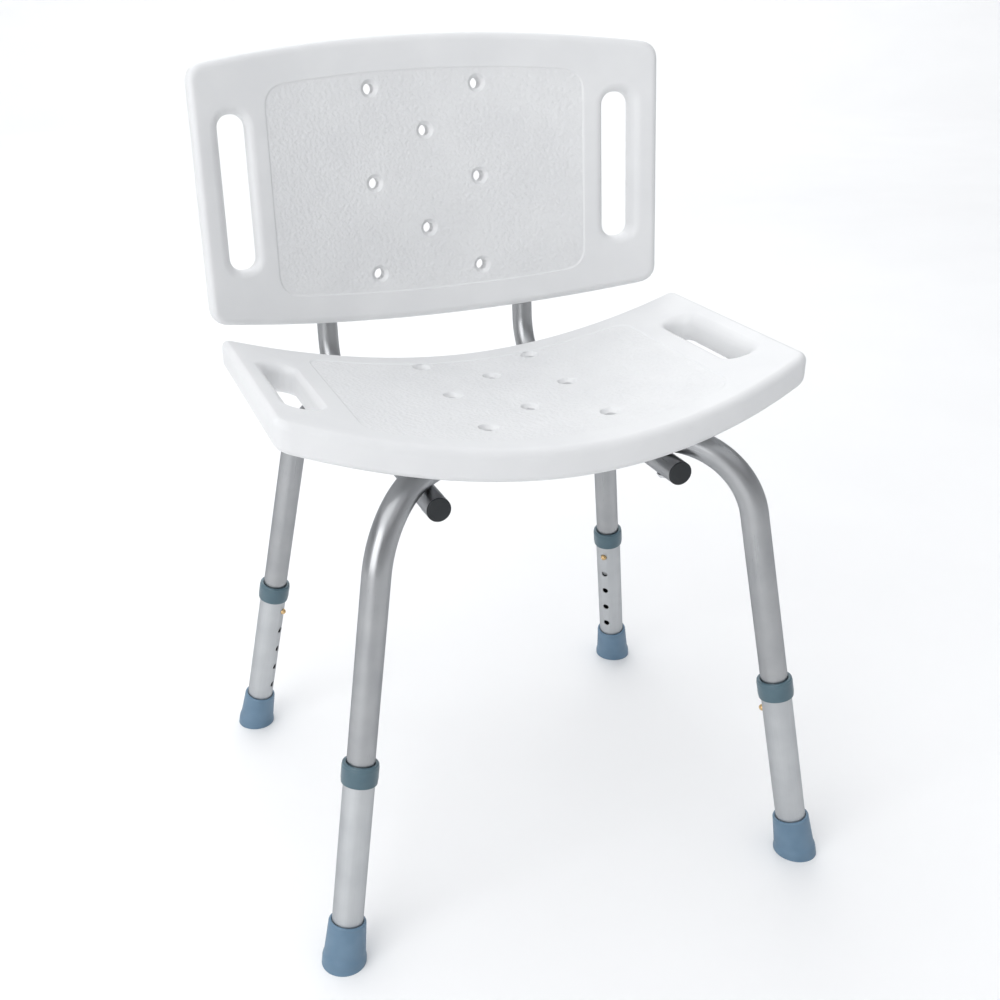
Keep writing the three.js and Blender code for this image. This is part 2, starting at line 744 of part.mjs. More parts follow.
function seatPanel() {
  const half = SEAT.width / 2;
  const front = parabola(half, SEAT.frontEnd, -SEAT.frontBow);
  const rear = parabola(half, SEAT.rearEnd, -SEAT.rearHollow);
  const slotX = half - SEAT_SLOT.fromEnd;
  const slots = [-1, 1].map((side) => ({
    x: side * slotX,
    y: SEAT_SLOT.middleY,
    width: SEAT_SLOT.width,
    length: SEAT_SLOT.length,
  }));
  const { columnX, middleY, stepY, innerY } = SEAT_DRAINS;
  const drains = [
    ...[-1, 1].flatMap((sx) => [-1, 0, 1].map((sy) => [sx * columnX, middleY + sy * stepY])),
    ...[-1, 1].map((sy) => [0, middleY + sy * innerY]),
  ];
  const channel = (extra) =>
    [-1, 1].flatMap((side) => {
      const end = bowDirection(side).multiplyScalar(kneeReach).setZ(FRAME.height);
      const round = bore(legRadius + extra, end.clone().multiply(at(-1, -1, 1)), end, SIDES.tube);
      const wide = 2 * (legRadius * LAP.widen + extra);
      const lap = new THREE.BoxGeometry(2 * (lapReach + extra), wide, 2 * (legRadius + extra));
      lap.rotateZ(side * diagonal);
      lap.translate(0, 0, FRAME.height);
      return [round, toSolid(lap)];
    });
  const insertPlaces = [[0, 0], ...Object.values(CORNERS)];
  const upright = (radius, top) =>
    insertPlaces.map((signs) =>
      bore(radius, crossingAt(signs, FRAME.height), crossingAt(signs, top)),
    );
  const keepSolid = [
    ...channel(2 * GAP + SEAT.wall),
    ...upright(INSERT.boss, insertTop(legRadius) + SEAT.wall),
  ];
  const body = hollowPanel(SEAT, front, rear, slots, drains, (p) => {
    p.z += seatTop(p.x);
  }, keepSolid);
  const insertHoles = upright(INSERT.outer + GAP, insertTop(legRadius) + GAP);
  const blow = at(BLOW_HOLE.x, 0, seatTop(BLOW_HOLE.x) - 2 * SEAT.thickness);
  const blowTop = blow.clone().setZ(seatTop(BLOW_HOLE.x) - SEAT.thickness / 2);
  const blowHole = bar(BLOW_HOLE.radius, blow, blowTop);
  return toGeometry(cut(body, channel(GAP), insertHoles, blowHole));
}

// Back panel, drawn in its own tilted frame: x across, y behind its front face, z up the panel
function backPanel() {
  const half = BACK.width / 2;
  const bottom = parabola(half, 0, -BACK.bottomBow);
  const top = parabola(half, BACK.endHeight, BACK.topBow);
  const slots = [-1, 1].map((side) => ({
    x: side * (half - BACK_SLOT.fromEnd),
    y: BACK_SLOT.middle,
    width: BACK_SLOT.width,
    length: BACK_SLOT.length,
  }));
  const { columnX, middle, step, inner } = BACK_DRAINS;
  const drains = [
    ...[-1, 1].flatMap((sx) => [-1, 0, 1].map((sy) => [sx * columnX, middle + sy * step])),
    ...[-1, 1].map((sy) => [0, middle + sy * inner]),
  ];
  const place = (p) => p.set(p.x, backBend(p.x) - p.z, p.y).applyMatrix4(backFrame);
  const tubeWay = (extra) =>
    [-1, 1].map((side) => {
      const x = side * FRAME.crossX;
      const run = [-BACK.bottomBow * 2, BACK.endHeight + BACK.topBow * 2];
      const [low, high] = run.map((z) => at(x, backTubeBehind, z).applyMatrix4(backFrame));
      return bore(backRadius + extra, low, high, SIDES.tube);
    });
  const screwWay = (radius, depth) =>
    screwPlaces().map(({ x, z }) => {
      const mouth = at(x, backTubeBehind, z).applyMatrix4(backFrame);
      const end = at(x, backTubeBehind - backRadius - GAP - depth, z).applyMatrix4(backFrame);
      return bore(radius, mouth, end);
    });
  const keepSolid = [
    ...tubeWay(2 * GAP + BACK.wall),
    ...screwWay(INSERT.boss, INSERT.length + BACK.wall),
  ];
  const body = hollowPanel(BACK, bottom, top, slots, drains, place, keepSolid);
  const insertHoles = screwWay(INSERT.outer + GAP, INSERT.length + GAP);
  const under = (y, z) => at(BLOW_HOLE.x, y, z).applyMatrix4(backFrame);
  const middleDepth = backBend(BLOW_HOLE.x) + BACK.thickness / 2;
  const edge = bottom(BLOW_HOLE.x);
  const blowHole = bar(
    BLOW_HOLE.radius,
    under(middleDepth, edge - BACK.corner),
    under(middleDepth, edge + BACK.corner),
  );
  return toGeometry(cut(body, tubeWay(GAP), insertHoles, blowHole));
}

const screwPlaces = () =>
  Object.entries(HANDS).flatMap(([hand, side]) =>
    Object.entries(BACK_SCREW).map(([level, z]) => ({
      name: `${level}_${hand}`,
      x: side * FRAME.crossX,
      z,
    })),
  );

// Fasteners point up +Z: the head's underside is at 0
function bolt(length) {
  const head = new THREE.CylinderGeometry(BOLT.head, BOLT.head, BOLT.headHeight, 6);
  head.rotateX(Math.PI / 2);
  head.translate(0, 0, -BOLT.headHeight / 2);
  const shank = bar(BOLT.radius, at(0, 0, -BOLT.headHeight / 2), at(0, 0, length));
  return toGeometry(toSolid(head).add(shank));
}

function washer() {
  return turned(
    [
      [boltHole, 0],
      [BOLT.washer, 0],
      [BOLT.washer, BOLT.washerThick],
      [boltHole, BOLT.washerThick],
      [boltHole, 0],
    ],
    SIDES.tube,
  );
}

function insert() {
  return turned(
    [
      [boltHole, 0],
      [INSERT.outer, 0],
      [INSERT.outer, INSERT.length],
      [boltHole, INSERT.length],
      [boltHole, 0],
    ],
    SIDES.small,
  );
}

// Assembly
const chair = new THREE.Group();

function add(name, geometry, finish, matrix = new THREE.Matrix4()) {
  geometry.computeVertexNormals();
  const mesh = new THREE.Mesh(geometry, new THREE.MeshStandardMaterial(FINISH[finish]));
  mesh.name = name;
  mesh.applyMatrix4(matrix);
  chair.add(mesh);
}

// A frame at a point with +Z along a direction
function aimed(point, direction) {
  const turn = new THREE.Quaternion().setFromUnitVectors(at(0, 0, 1), direction);
  return new THREE.Matrix4().compose(point, turn, at(1, 1, 1));
}

add('seat_panel', seatPanel(), 'panel');
add('back_panel', backPanel(), 'panel');
add('leg_bow_upper', legBow(1, 1), 'tube');
add('leg_bow_lower', legBow(-1, -1), 'tube');

for (const [label, side] of Object.entries(HANDS)) {
  const x = side * FRAME.crossX;
  add(`back_tube_${label}`, backTube(x), 'tube');
  const front = at(x, -BACK_TUBE.frontReach, backTubeHeight);
  add(`front_plug_${label}`, tubePlug(), 'plug', aimed(front, at(0, 1, 0)));
  const top = at(x, backTubeBehind, BACK_TUBE.topRun + PLUG.flange).applyMatrix4(backFrame);
  const down = at(0, 0, -1).transformDirection(backFrame);
  add(`top_plug_${label}`, tubePlug(), 'plug', aimed(top, down));
}

for (const [corner, signs] of Object.entries(CORNERS)) {
  const frame = legFrame(signs);
  add(`lower_leg_${corner}`, sleeve(), 'sleeve', frame);
  add(`leg_collar_${corner}`, collar(), 'collar', frame);
  add(`foot_${corner}`, foot(frame), 'foot', frame);
  add(`snap_button_${corner}`, snapButton(), 'button', frame);
  add(`spring_clip_${corner}`, springClip(), 'steel', frame);
}

const insertBase = FRAME.height + legRadius + GAP;
const up = at(0, 0, 1);

function boltStack(name, place, underside, clampHeight) {
  const headTop = underside - GAP - BOLT.washerThick - GAP;
  const length = clampHeight + INSERT.length - BOLT.shortOf - headTop;
  add(`frame_bolt_${name}`, bolt(length), 'steel', aimed(place.clone().setZ(headTop), up));
  const washerBase = place.clone().setZ(underside - GAP - BOLT.washerThick);
  add(`bolt_washer_${name}`, washer(), 'steel', aimed(washerBase, up));
  add(`seat_insert_${name}`, insert(), 'brass', aimed(place.clone().setZ(clampHeight), up));
}

for (const [corner, signs] of Object.entries(CORNERS)) {
  boltStack(corner, crossingAt(signs, 0), backTubeHeight - backRadius, insertBase);
}
boltStack('centre', at(0, 0, 0), FRAME.height - GAP / 2 - lapHeight, insertBase);

for (const { name, x, z } of screwPlaces()) {
  const headY = backTubeBehind + backRadius + GAP;
  const insertY = backTubeBehind - backRadius - GAP;
  const forward = at(0, -1, 0).transformDirection(backFrame);
  const length = headY - insertY + INSERT.length - BOLT.shortOf;
  const head = at(x, headY, z).applyMatrix4(backFrame);
  add(`back_screw_${name}`, bolt(length), 'steel', aimed(head, forward));
  const mouth = at(x, insertY, z).applyMatrix4(backFrame);
  add(`back_insert_${name}`, insert(), 'brass', aimed(mouth, forward));
}

// The origin is the middle of the footprint, on the floor
chair.updateMatrixWorld(true);
const box = new THREE.Box3().setFromObject(chair, true);
chair.position.set(-(box.min.x + box.max.x) / 2, -(box.min.y + box.max.y) / 2, -box.min.z);

export default chair;
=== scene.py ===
"""Looks of a shower chair: a moulded seat and back on a bent aluminium tube frame.

Sizes are in millimetres and pieces are modelled about the point where the leg bows cross, with
the floor at z = 0; place() takes each finished mesh to metres in the row frame.
"""

import math

import bmesh
import bpy
from mathutils import Matrix, Vector


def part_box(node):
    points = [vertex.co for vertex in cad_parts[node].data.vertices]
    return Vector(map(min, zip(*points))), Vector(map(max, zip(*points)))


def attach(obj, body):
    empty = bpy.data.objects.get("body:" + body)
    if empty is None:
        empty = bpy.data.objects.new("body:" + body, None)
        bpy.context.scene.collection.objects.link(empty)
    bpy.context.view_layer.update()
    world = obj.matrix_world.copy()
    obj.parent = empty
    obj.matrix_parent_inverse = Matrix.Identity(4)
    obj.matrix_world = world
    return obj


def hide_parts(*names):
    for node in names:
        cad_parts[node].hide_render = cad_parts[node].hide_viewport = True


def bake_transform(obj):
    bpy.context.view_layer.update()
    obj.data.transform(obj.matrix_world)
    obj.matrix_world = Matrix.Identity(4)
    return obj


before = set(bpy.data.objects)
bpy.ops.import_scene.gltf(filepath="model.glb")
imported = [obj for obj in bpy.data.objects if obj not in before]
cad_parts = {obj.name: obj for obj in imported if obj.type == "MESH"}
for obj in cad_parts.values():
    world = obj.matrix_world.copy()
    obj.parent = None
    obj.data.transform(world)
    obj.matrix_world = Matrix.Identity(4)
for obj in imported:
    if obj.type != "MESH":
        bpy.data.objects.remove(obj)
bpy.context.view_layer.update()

MM = 0.001
GAP = 0.3
SAME_PLACE = 0.002  # points closer than this are one
NEAR = 0.01  # faces closer than this lie on one level

# Frame of bent tubes
BOW_HEIGHT = 424.0
CROSS_X, CROSS_Y = 115.0, 99.5
STRAIGHT_PAST = 7.0
KNEE_RADIUS = 80.0
SPLAY = math.radians(11.73)
LEG_OUTER, LEG_WALL = 12.7, 1.5
SLEEVE_WALL = 1.3
BACK_OUTER, BACK_WALL = 11.1, 1.5
BACK_BEND = 60.0
BACK_FRONT = -130.4
BACK_TOP = 205.0
PLUG_FLANGE, PLUG_LENGTH, PLUG_FIT, PLUG_SEAM = 1.6, 13.0, 0.05, 0.08
LAP_HALF, LAP_TAPER, LAP_WIDEN = 21.0, 26.0, 1.25

# Up a leg, from the floor
SLEEVE_START, SLEEVE_TOP = 9.0, 196.2
BUTTON_AT, BUTTON_PITCH, BUTTON_HOLES, BUTTON_HOLE = 164.9, 26.0, 5, 3.75
TUBE_BELOW_BUTTON = 28.0
COLLAR_WALL, COLLAR_LENGTH, COLLAR_LIP = 2.15, 19.6, 2.2
COLLAR_DRAFT, COLLAR_SKIRT = 0.5, 5.0  # slight taper of the lower end, and its height
COLLAR_STEP, COLLAR_CAP = 0.35, 2.9  # the cap is this much slimmer, and this tall
FOOT_BASE_WALL, FOOT_RIM_WALL, FOOT_HEIGHT = 5.8, 2.65, 42.3
FOOT_SOLE, FOOT_SHOULDER, FOOT_SHOULDER_IN = 6.8, 3.7, 1.3
FOOT_RIM_DROP, FOOT_RIM_IN = 1.0, 0.9
FOOT_MOUTH_OUT, FOOT_MOUTH_DROP = 0.4, 0.8
BUTTON_RADIUS, BUTTON_PROUD = 3.4, 3.5
BUTTON_FLANGE, BUTTON_FLANGE_THICK, BUTTON_FLANGE_TOP = 4.6, 1.8, 9.5
DOME_START, DOME_IN, DOME_RISE = 2.6, 1.4, 0.5
CLIP_ARM, CLIP_WALL_ARM, CLIP_PAD, CLIP_WIDTH = 6.99, -9.35, 8.0, 8.0
CLIP_THICK, CLIP_LOOP, CLIP_RISE, CLIP_STEPS = 0.8, 4.0, 34.0, 16

# Seat and back panels
SEAT_HALF, SEAT_THICK, SEAT_OVER = 249.25, 28.9, 18.2
SEAT_SAG, SEAT_SAG_POWER = 38.7, 1.9
SEAT_FRONT, SEAT_FRONT_BOW, SEAT_REAR, SEAT_REAR_HOLLOW = -113.3, 51.9, 140.8, 16.8
BACK_HALF, BACK_THICK, BACK_OVER, BACK_FACE = 249.5, 24.0, 35.3, 219.7
BACK_END, BACK_TOP_BOW, BACK_BOTTOM_BOW, BACK_HOLLOW = 247.4, 22.0, 20.4, 43.0
BACK_TILT = math.radians(6.64)
SEAT_CORNER, BACK_CORNER = 12.0, 17.0
FACE_ROUND, REAR_ROUND = 8.2, 6.4
SLOT_FLARE, SLOT_DEPTH, SLOT_CORNER_SHARE = 9.0, 10.0, 0.44
SEAT_SLOT_IN, SEAT_SLOT_WIDTH, SEAT_SLOT_LENGTH, SEAT_SLOT_Y = 38.5, 27.0, 128.0, 1.0
BACK_SLOT_IN, BACK_SLOT_WIDTH, BACK_SLOT_LENGTH, BACK_SLOT_Z = 41.0, 29.0, 151.0, 125.5
DRAIN_RADIUS, DRAIN_DIMPLE, DRAIN_DEPTH, DRAIN_BEHIND = 5.6, 9.6, 5.0, 6.5
SEAT_DRAINS = [(sx * 58.1, -5.9 + sy * 92.1) for sx in (-1, 1) for sy in (-1, 0, 1)]
SEAT_DRAINS += [(0.0, -5.9 - 48.5), (0.0, -5.9 + 48.5)]
BACK_DRAINS = [(sx * 58.6, 124.1 + sz * 93.9) for sx in (-1, 1) for sz in (-1, 0, 1)]
BACK_DRAINS += [(0.0, 124.1 - 50.0), (0.0, 124.1 + 50.0)]
RECESS_IN, RECESS_CORNER, RECESS_DEPTH = 77.0, 22.0, 1.0
SEAT_MARGINS, BACK_MARGINS = (28.0, 28.0), (30.0, 34.0)
VENT_X, VENT_RADIUS, VENT_DEPTH, VENT_SIDES = 165.0, 4.0, 6.0, 24

# Fasteners
BOLT_HEAD, BOLT_HEAD_HEIGHT, BOLT_RADIUS, BOLT_SHORT = 4.8, 2.2, 3.0, 1.0
BOLT_CHAMFER = 0.8
WASHER, WASHER_THICK, WASHER_EDGE = 5.8, 0.8, 0.3
INSERT_LENGTH = 12.0
SCREW_HEIGHTS = {"lower": 62.0, "upper": 182.0}

# How finely things are made
TUBE_SIDES = 64
TURNED_STEPS = 72
RUN_STEP, LONG_RUN_STEP, BEND_STEPS = 6.0, 20.0, 30
HOLE_SIDES = 32
EDGE_STEPS = 48
ARC_STEPS = 8
PANEL_STRIP = 6.0

# Left and right are as seen from in front of the chair
HANDS = {"left": -1, "right": 1}
CORNERS = {"fl": (-1, -1), "fr": (1, -1), "rl": (-1, 1), "rr": (1, 1)}

# What follows from those sizes
SLEEVE_BORE = LEG_OUTER + GAP
SLEEVE_OUTER = SLEEVE_BORE + SLEEVE_WALL
OVER_SLEEVE = SLEEVE_OUTER + GAP
DIAGONAL = math.atan2(CROSS_Y, CROSS_X)
KNEE_SETBACK = KNEE_RADIUS * math.tan((math.pi / 2 - SPLAY) / 2)
KNEE_REACH = math.hypot(CROSS_X, CROSS_Y) + STRAIGHT_PAST + KNEE_SETBACK
FOOT_REACH = KNEE_REACH + BOW_HEIGHT * math.tan(SPLAY)
CHANNEL_END = CROSS_X + 40.0
# The seat's underside is cut along the leg bows at these distances from a bow's axis
CHANNEL_MARKS = [0, 3, 6, 8.5, 10.5, 12, 12.8, LEG_OUTER + 2 * GAP, 14.6, 16.4, 17.2]
BACK_TUBE_HEIGHT = BOW_HEIGHT - LEG_OUTER - BACK_OUTER - GAP
SEAT_MIDDLE = BOW_HEIGHT + LEG_OUTER + SEAT_OVER
BACK_LIFT = SEAT_MIDDLE + BACK_OVER
LAP_HEIGHT = LEG_OUTER - GAP / 2
# From the bows' crossing to the row frame, read off the seat's front edge
FORE_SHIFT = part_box("seat_panel")[0].y / MM - (SEAT_FRONT - SEAT_FRONT_BOW)


# ---------------------------------------------------------------- shared making
def place(bm, name, body, finish, nodes, sharp=35.0):
    """Turns a mesh into a named piece in the row frame that stands for CAD nodes.

    It rides on a body, or is left free where body is None. Edges that turn by more
    than sharp degrees stay crisp.
    """
    bmesh.ops.remove_doubles(bm, verts=bm.verts, dist=SAME_PLACE)
    bmesh.ops.translate(bm, verts=bm.verts, vec=(0, FORE_SHIFT, 0))
    bmesh.ops.scale(bm, verts=bm.verts, vec=(MM, MM, MM))
    mesh = bpy.data.meshes.new(name)
    for face in bm.faces:
        face.smooth = True
    for edge in bm.edges:
        if len(edge.link_faces) == 2:
            edge.smooth = edge.calc_face_angle() < math.radians(sharp)
    bm.to_mesh(mesh)
    bm.free()
    piece = bpy.data.objects.new(name, mesh)
    bpy.context.scene.collection.objects.link(piece)
    for material in finish if isinstance(finish, (list, tuple)) else [finish]:
        mesh.materials.append(material)
    if body:
        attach(piece, body)
    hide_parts(*nodes)
    return piece


def outward(bm):
    """Merges doubles and turns every face outwards."""
    bmesh.ops.remove_doubles(bm, verts=bm.verts, dist=SAME_PLACE)
    bmesh.ops.recalc_face_normals(bm, faces=bm.faces)


def weigh_normals(piece):
    """Shades a piece evenly across its flats, up to its crisp edges."""
    piece.modifiers.new("even_shading", "WEIGHTED_NORMAL").keep_sharp = True


def ring_of(bm, points):
    """A closed loop of edges through points."""
    verts = [bm.verts.new(p) for p in points]
    return [bm.edges.new(pair) for pair in zip(verts, verts[1:] + verts[:1])]


def stack(bm, rings):
    """Joins a list of rings, each to the next, and gives back the first and the last."""
    for lower, upper in zip(rings, rings[1:]):
        bmesh.ops.bridge_loops(bm, edges=lower + upper)
    return rings[0], rings[-1]


def fill(bm, loops, material=0):
    """Closes a flat region whose outline and holes are these loops."""
    edges = [edge for loop in loops for edge in loop]
    made = bmesh.ops.triangle_fill(bm, use_beauty=True, edges=edges, normal=(0, 0, 1))
    for item in made["geom"]:
        if isinstance(item, bmesh.types.BMFace):
            item.material_index = material


def turned(profile, rounds, steps=TURNED_STEPS):
    """A turned piece around +Z from [radius, height] points, with the listed corners rounded."""
    bm = bmesh.new()
    verts = [bm.verts.new((radius, 0, height)) for radius, height in profile]
    closed = profile[0][0] > 0
    for pair in zip(verts, verts[1:] + (verts[:1] if closed else [])):
        bm.edges.new(pair)
    for corner, (radius, segments) in rounds.items():
        bmesh.ops.bevel(
            bm,
            geom=[verts[corner]],
            offset=radius,
            offset_type="OFFSET",
            segments=segments,
            profile=0.5,
            affect="VERTICES",
            material=-1,
        )
    bmesh.ops.spin(
        bm,
        geom=bm.verts[:] + bm.edges[:],
        cent=(0, 0, 0),
        axis=(0, 0, 1),
        angle=2 * math.pi,
        steps=steps,
        use_merge=True,
    )
    outward(bm)
    return bm


def aimed(point, direction):
    """A frame at a point with +Z along a direction."""
    turn = Vector((0, 0, 1)).rotation_difference(Vector(direction)).to_matrix().to_4x4()
    return Matrix.Translation(point) @ turn


def leg_frame(sx, sy):
    """A leg's frame: on the floor under its axis, +Z up the leg, +X towards the chair's middle."""
    out = Vector((sx * math.cos(DIAGONAL), sy * math.sin(DIAGONAL), 0))
    up = out * -math.sin(SPLAY) + Vector((0, 0, math.cos(SPLAY)))
    inward = out * -math.cos(SPLAY) - Vector((0, 0, math.sin(SPLAY)))
    turn = Matrix((inward, up.cross(inward), up)).transposed()
    return Matrix.Translation(out * FOOT_REACH) @ turn.to_4x4()


# ---------------------------------------------------------------- bent tubes
def bent_path(corners, bend_radius, side, run_step):
    """Frames along straight runs and round bends: +Z along the path, +X out of the bend's plane."""
    frames = []

    def station(point, tangent, travelled):
        turn = Matrix((side, tangent.cross(side), tangent)).transposed().to_4x4()
        frames.append((Matrix.Translation(point) @ turn, travelled))

    start, travelled = corners[0], 0.0
    for i, corner in enumerate(corners[1:], 1):
        tangent = (corner - start).normalized()
        last = i == len(corners) - 1
        out = tangent if last else (corners[i + 1] - corner).normalized()
        angle = tangent.angle(out) if not last else 0.0
        setback = bend_radius * math.tan(angle / 2)
        length = (corner - start).length - setback
        steps = max(1, round(length / run_step))
        for k in range(steps + 1):
            station(start + tangent * length * k / steps, tangent, travelled + length * k / steps)
        travelled += length
        if last:
            break
        first = start + tangent * length
        inward = (out - tangent * out.dot(tangent)).normalized()
        for k in range(1, BEND_STEPS):
            turn = angle * k / BEND_STEPS
            point = first + inward * bend_radius * (1 - math.cos(turn))
            point += tangent * bend_radius * math.sin(turn)
            heading = tangent * math.cos(turn) + inward * math.sin(turn)
            station(point, heading, travelled + bend_radius * turn)
        travelled += bend_radius * angle
        start = corner + out * setback
    return frames


def swept_tube(radius, path):
    """An open shell along a path, with a point attribute that runs round and along the metal."""
    bm = bmesh.new()
    drawn = bm.verts.layers.float_vector.new("drawn")
    bmesh.ops.create_circle(bm, segments=TUBE_SIDES, radius=radius)
    for vert in bm.verts:
        vert[drawn] = vert.co * MM
    bmesh.ops.transform(bm, matrix=path[0][0], verts=bm.verts)
    ring = bm.edges[:]
    for (before, _), (after, travelled) in zip(path, path[1:]):
        made = bmesh.ops.extrude_edge_only(bm, edges=ring)["geom"]
        verts = [item for item in made if isinstance(item, bmesh.types.BMVert)]
        ends = set(verts)
        ring = [
            item
            for item in made
            if isinstance(item, bmesh.types.BMEdge) and ends.issuperset(item.verts)
        ]
        bmesh.ops.transform(bm, matrix=after @ before.inverted(), verts=verts)
        for vert in verts:
            vert[drawn] = (vert[drawn].x, vert[drawn].y, travelled * MM)
    outward(bm)
    return bm


def give_wall(piece, wall):
    """Gives an open shell its wall, inwards, with the piece's second material in the bore: a
    near-black painted shade inside the tube.
    """
    shell = piece.modifiers.new("tube_wall", "SOLIDIFY")
    shell.material_offset = 1
    shell.thickness = wall * MM
    shell.offset = -1
    shell.use_even_offset = True
    weigh_normals(piece)


def bow_direction(side):
    """The way a leg bow runs: to the rear right for side 1, to the front right for side -1."""
    return Vector((math.cos(DIAGONAL), side * math.sin(DIAGONAL), 0))


def smooth_step(value, low, high):
    t = min(1.0, max(0.0, (value - low) / (high - low)))
    return t * t * (3 - 2 * t)


def leg_bow(side, half, name, metal):
    """A leg bow, crimped at its middle into the upper or lower half of its height."""
    direction = bow_direction(side)
    across = Vector((0, 0, 1)).cross(direction)
    tube_end = BUTTON_AT - TUBE_BELOW_BUTTON
    end_reach = FOOT_REACH - tube_end * math.sin(SPLAY)
    end_height = tube_end * math.cos(SPLAY)
    corners = [
        direction * reach + Vector((0, 0, height))
        for reach, height in (
            (-end_reach, end_height),
            (-KNEE_REACH, BOW_HEIGHT),
            (KNEE_REACH, BOW_HEIGHT),
            (end_reach, end_height),
        )
    ]
    bm = swept_tube(LEG_OUTER, bent_path(corners, KNEE_RADIUS, across, RUN_STEP))
    reach = LAP_HALF + LAP_TAPER
    for vert in bm.verts:
        along = abs(vert.co.dot(direction))
        if along < reach and vert.co.z > BOW_HEIGHT - 2 * LEG_OUTER:
            flatness = 1 - smooth_step(along, LAP_HALF, reach)
            rise = vert.co.z - BOW_HEIGHT
            level = 1 - (1 - min(1.0, abs(rise) / LEG_OUTER)) ** 2
            flat = math.copysign(LAP_HEIGHT / 2 * level, rise) + half * (LAP_HEIGHT + GAP) / 2
            vert.co += across * vert.co.dot(across) * (LAP_WIDEN - 1) * flatness
            vert.co.z = BOW_HEIGHT + rise + (flat - rise) * flatness
    piece = place(bm, name, "frame", metal, [name.replace("_tube", "")])
    give_wall(piece, LEG_WALL)


def back_bend(x):
    """Where the back's face lies at x: further forward, so more negative, towards its ends."""
    return -BACK_HOLLOW * (x / BACK_HALF) ** 2


BACK_FRAME = Matrix.Translation((0, BACK_FACE, BACK_LIFT)) @ Matrix.Rotation(-BACK_TILT, 4, "X")
BACK_TUBE_BEHIND = back_bend(CROSS_X) + BACK_THICK + BACK_OUTER + GAP


def back_tube(hand, side, metal):
    """A back tube: forward under the leg bows, then up behind the back panel."""
    x = side * CROSS_X
    top = BACK_FRAME @ Vector((x, BACK_TUBE_BEHIND, BACK_TOP))
    rise = (top.z - BACK_TUBE_HEIGHT) / math.cos(BACK_TILT)
    knee = Vector((x, top.y - rise * math.sin(BACK_TILT), BACK_TUBE_HEIGHT))
    front = Vector((x, BACK_FRONT + PLUG_FLANGE, BACK_TUBE_HEIGHT))
    path = bent_path([front, knee, top], BACK_BEND, Vector((1, 0, 0)), LONG_RUN_STEP)
    bm = swept_tube(BACK_OUTER, path)
    name = f"back_tube_{hand}_drawn"
    piece = place(bm, name, "frame", metal, [f"back_tube_{hand}"])
    give_wall(piece, BACK_WALL)


def end_plug(name, node, frame_at, plastic):
    """A charcoal plug, pressed into a tube's end, whose thin head covers the tube's wall."""
    bore = BACK_OUTER - BACK_WALL - PLUG_FIT
    profile = [
        (0, 0),
        (BACK_OUTER - PLUG_FIT, 0),
        (BACK_OUTER - PLUG_FIT, PLUG_FLANGE - PLUG_SEAM),
        (bore, PLUG_FLANGE - PLUG_SEAM),
        (bore, PLUG_LENGTH),
        (0, PLUG_LENGTH),
    ]
    bm = turned(profile, {1: (0.7, 4), 4: (0.6, 2)})
    bmesh.ops.transform(bm, matrix=frame_at, verts=bm.verts)
    weigh_normals(place(bm, name, "frame", plastic, [node], 60))


# ---------------------------------------------------------------- sleeve tubes, collars, feet
def sleeve(corner, metal):
    """The lower leg tube: a flat sheet with its row of holes, rolled up and given its wall."""
    bm = bmesh.new()
    half_turn = math.pi * SLEEVE_OUTER
    sheet = [(-half_turn, SLEEVE_START), (half_turn, SLEEVE_START)]
    sheet += [(half_turn, SLEEVE_TOP), (-half_turn, SLEEVE_TOP)]
    loops = [ring_of(bm, [(u, v, 0) for u, v in sheet])]
    for i in range(BUTTON_HOLES):
        height = BUTTON_AT - i * BUTTON_PITCH
        hole = bmesh.ops.create_circle(
            bm, segments=HOLE_SIDES, radius=BUTTON_HOLE, matrix=Matrix.Translation((0, height, 0))
        )
        loops.append(list({edge for vert in hole["verts"] for edge in vert.link_edges}))
    fill(bm, loops)
    for i in range(1, TUBE_SIDES):
        u = half_turn * (2 * i / TUBE_SIDES - 1)
        bmesh.ops.bisect_plane(
            bm, geom=bm.verts[:] + bm.edges[:] + bm.faces[:], plane_co=(u, 0, 0), plane_no=(1, 0, 0)
        )
    drawn = bm.verts.layers.float_vector.new("drawn")
    for vert in bm.verts:
        angle, height = vert.co.x / SLEEVE_OUTER, vert.co.y
        vert.co = SLEEVE_OUTER * math.cos(angle), SLEEVE_OUTER * math.sin(angle), height
        vert[drawn] = (vert.co.x * MM, vert.co.y * MM, height * MM)
    outward(bm)
    bmesh.ops.transform(bm, matrix=leg_frame(*CORNERS[corner]), verts=bm.verts)
    node = f"lower_leg_{corner}"
    piece = place(bm, f"sleeve_tube_{corner}", f"leg_{corner}", metal, [node])
    give_wall(piece, SLEEVE_WALL)


def collar(corner, plastic):
    """The slate collar that closes a sleeve tube's upper end: skirt, barrel and slimmer cap."""
    top = SLEEVE_TOP + GAP + COLLAR_LIP
    bottom = top - COLLAR_LENGTH
    outer = OVER_SLEEVE + COLLAR_WALL
    mouth = LEG_OUTER + GAP
    profile = [
        (OVER_SLEEVE, bottom),
        (outer - COLLAR_DRAFT, bottom),
        (outer, bottom + COLLAR_SKIRT),
        (outer, top - COLLAR_CAP - COLLAR_DRAFT),
        (outer - COLLAR_STEP, top - COLLAR_CAP),
        (outer - COLLAR_STEP, top),
        (mouth, top),
        (mouth, SLEEVE_TOP + GAP),
        (OVER_SLEEVE, SLEEVE_TOP + GAP),
    ]
    bm = turned(profile, {5: (1.5, 5), 6: (0.5, 3), 1: (0.6, 3), 3: (0.3, 2)})
    bmesh.ops.transform(bm, matrix=leg_frame(*CORNERS[corner]), verts=bm.verts)
    node = f"leg_collar_{corner}"
    piece = place(bm, f"collar_{corner}", f"leg_{corner}", plastic, [node], 50)
    weigh_normals(piece)


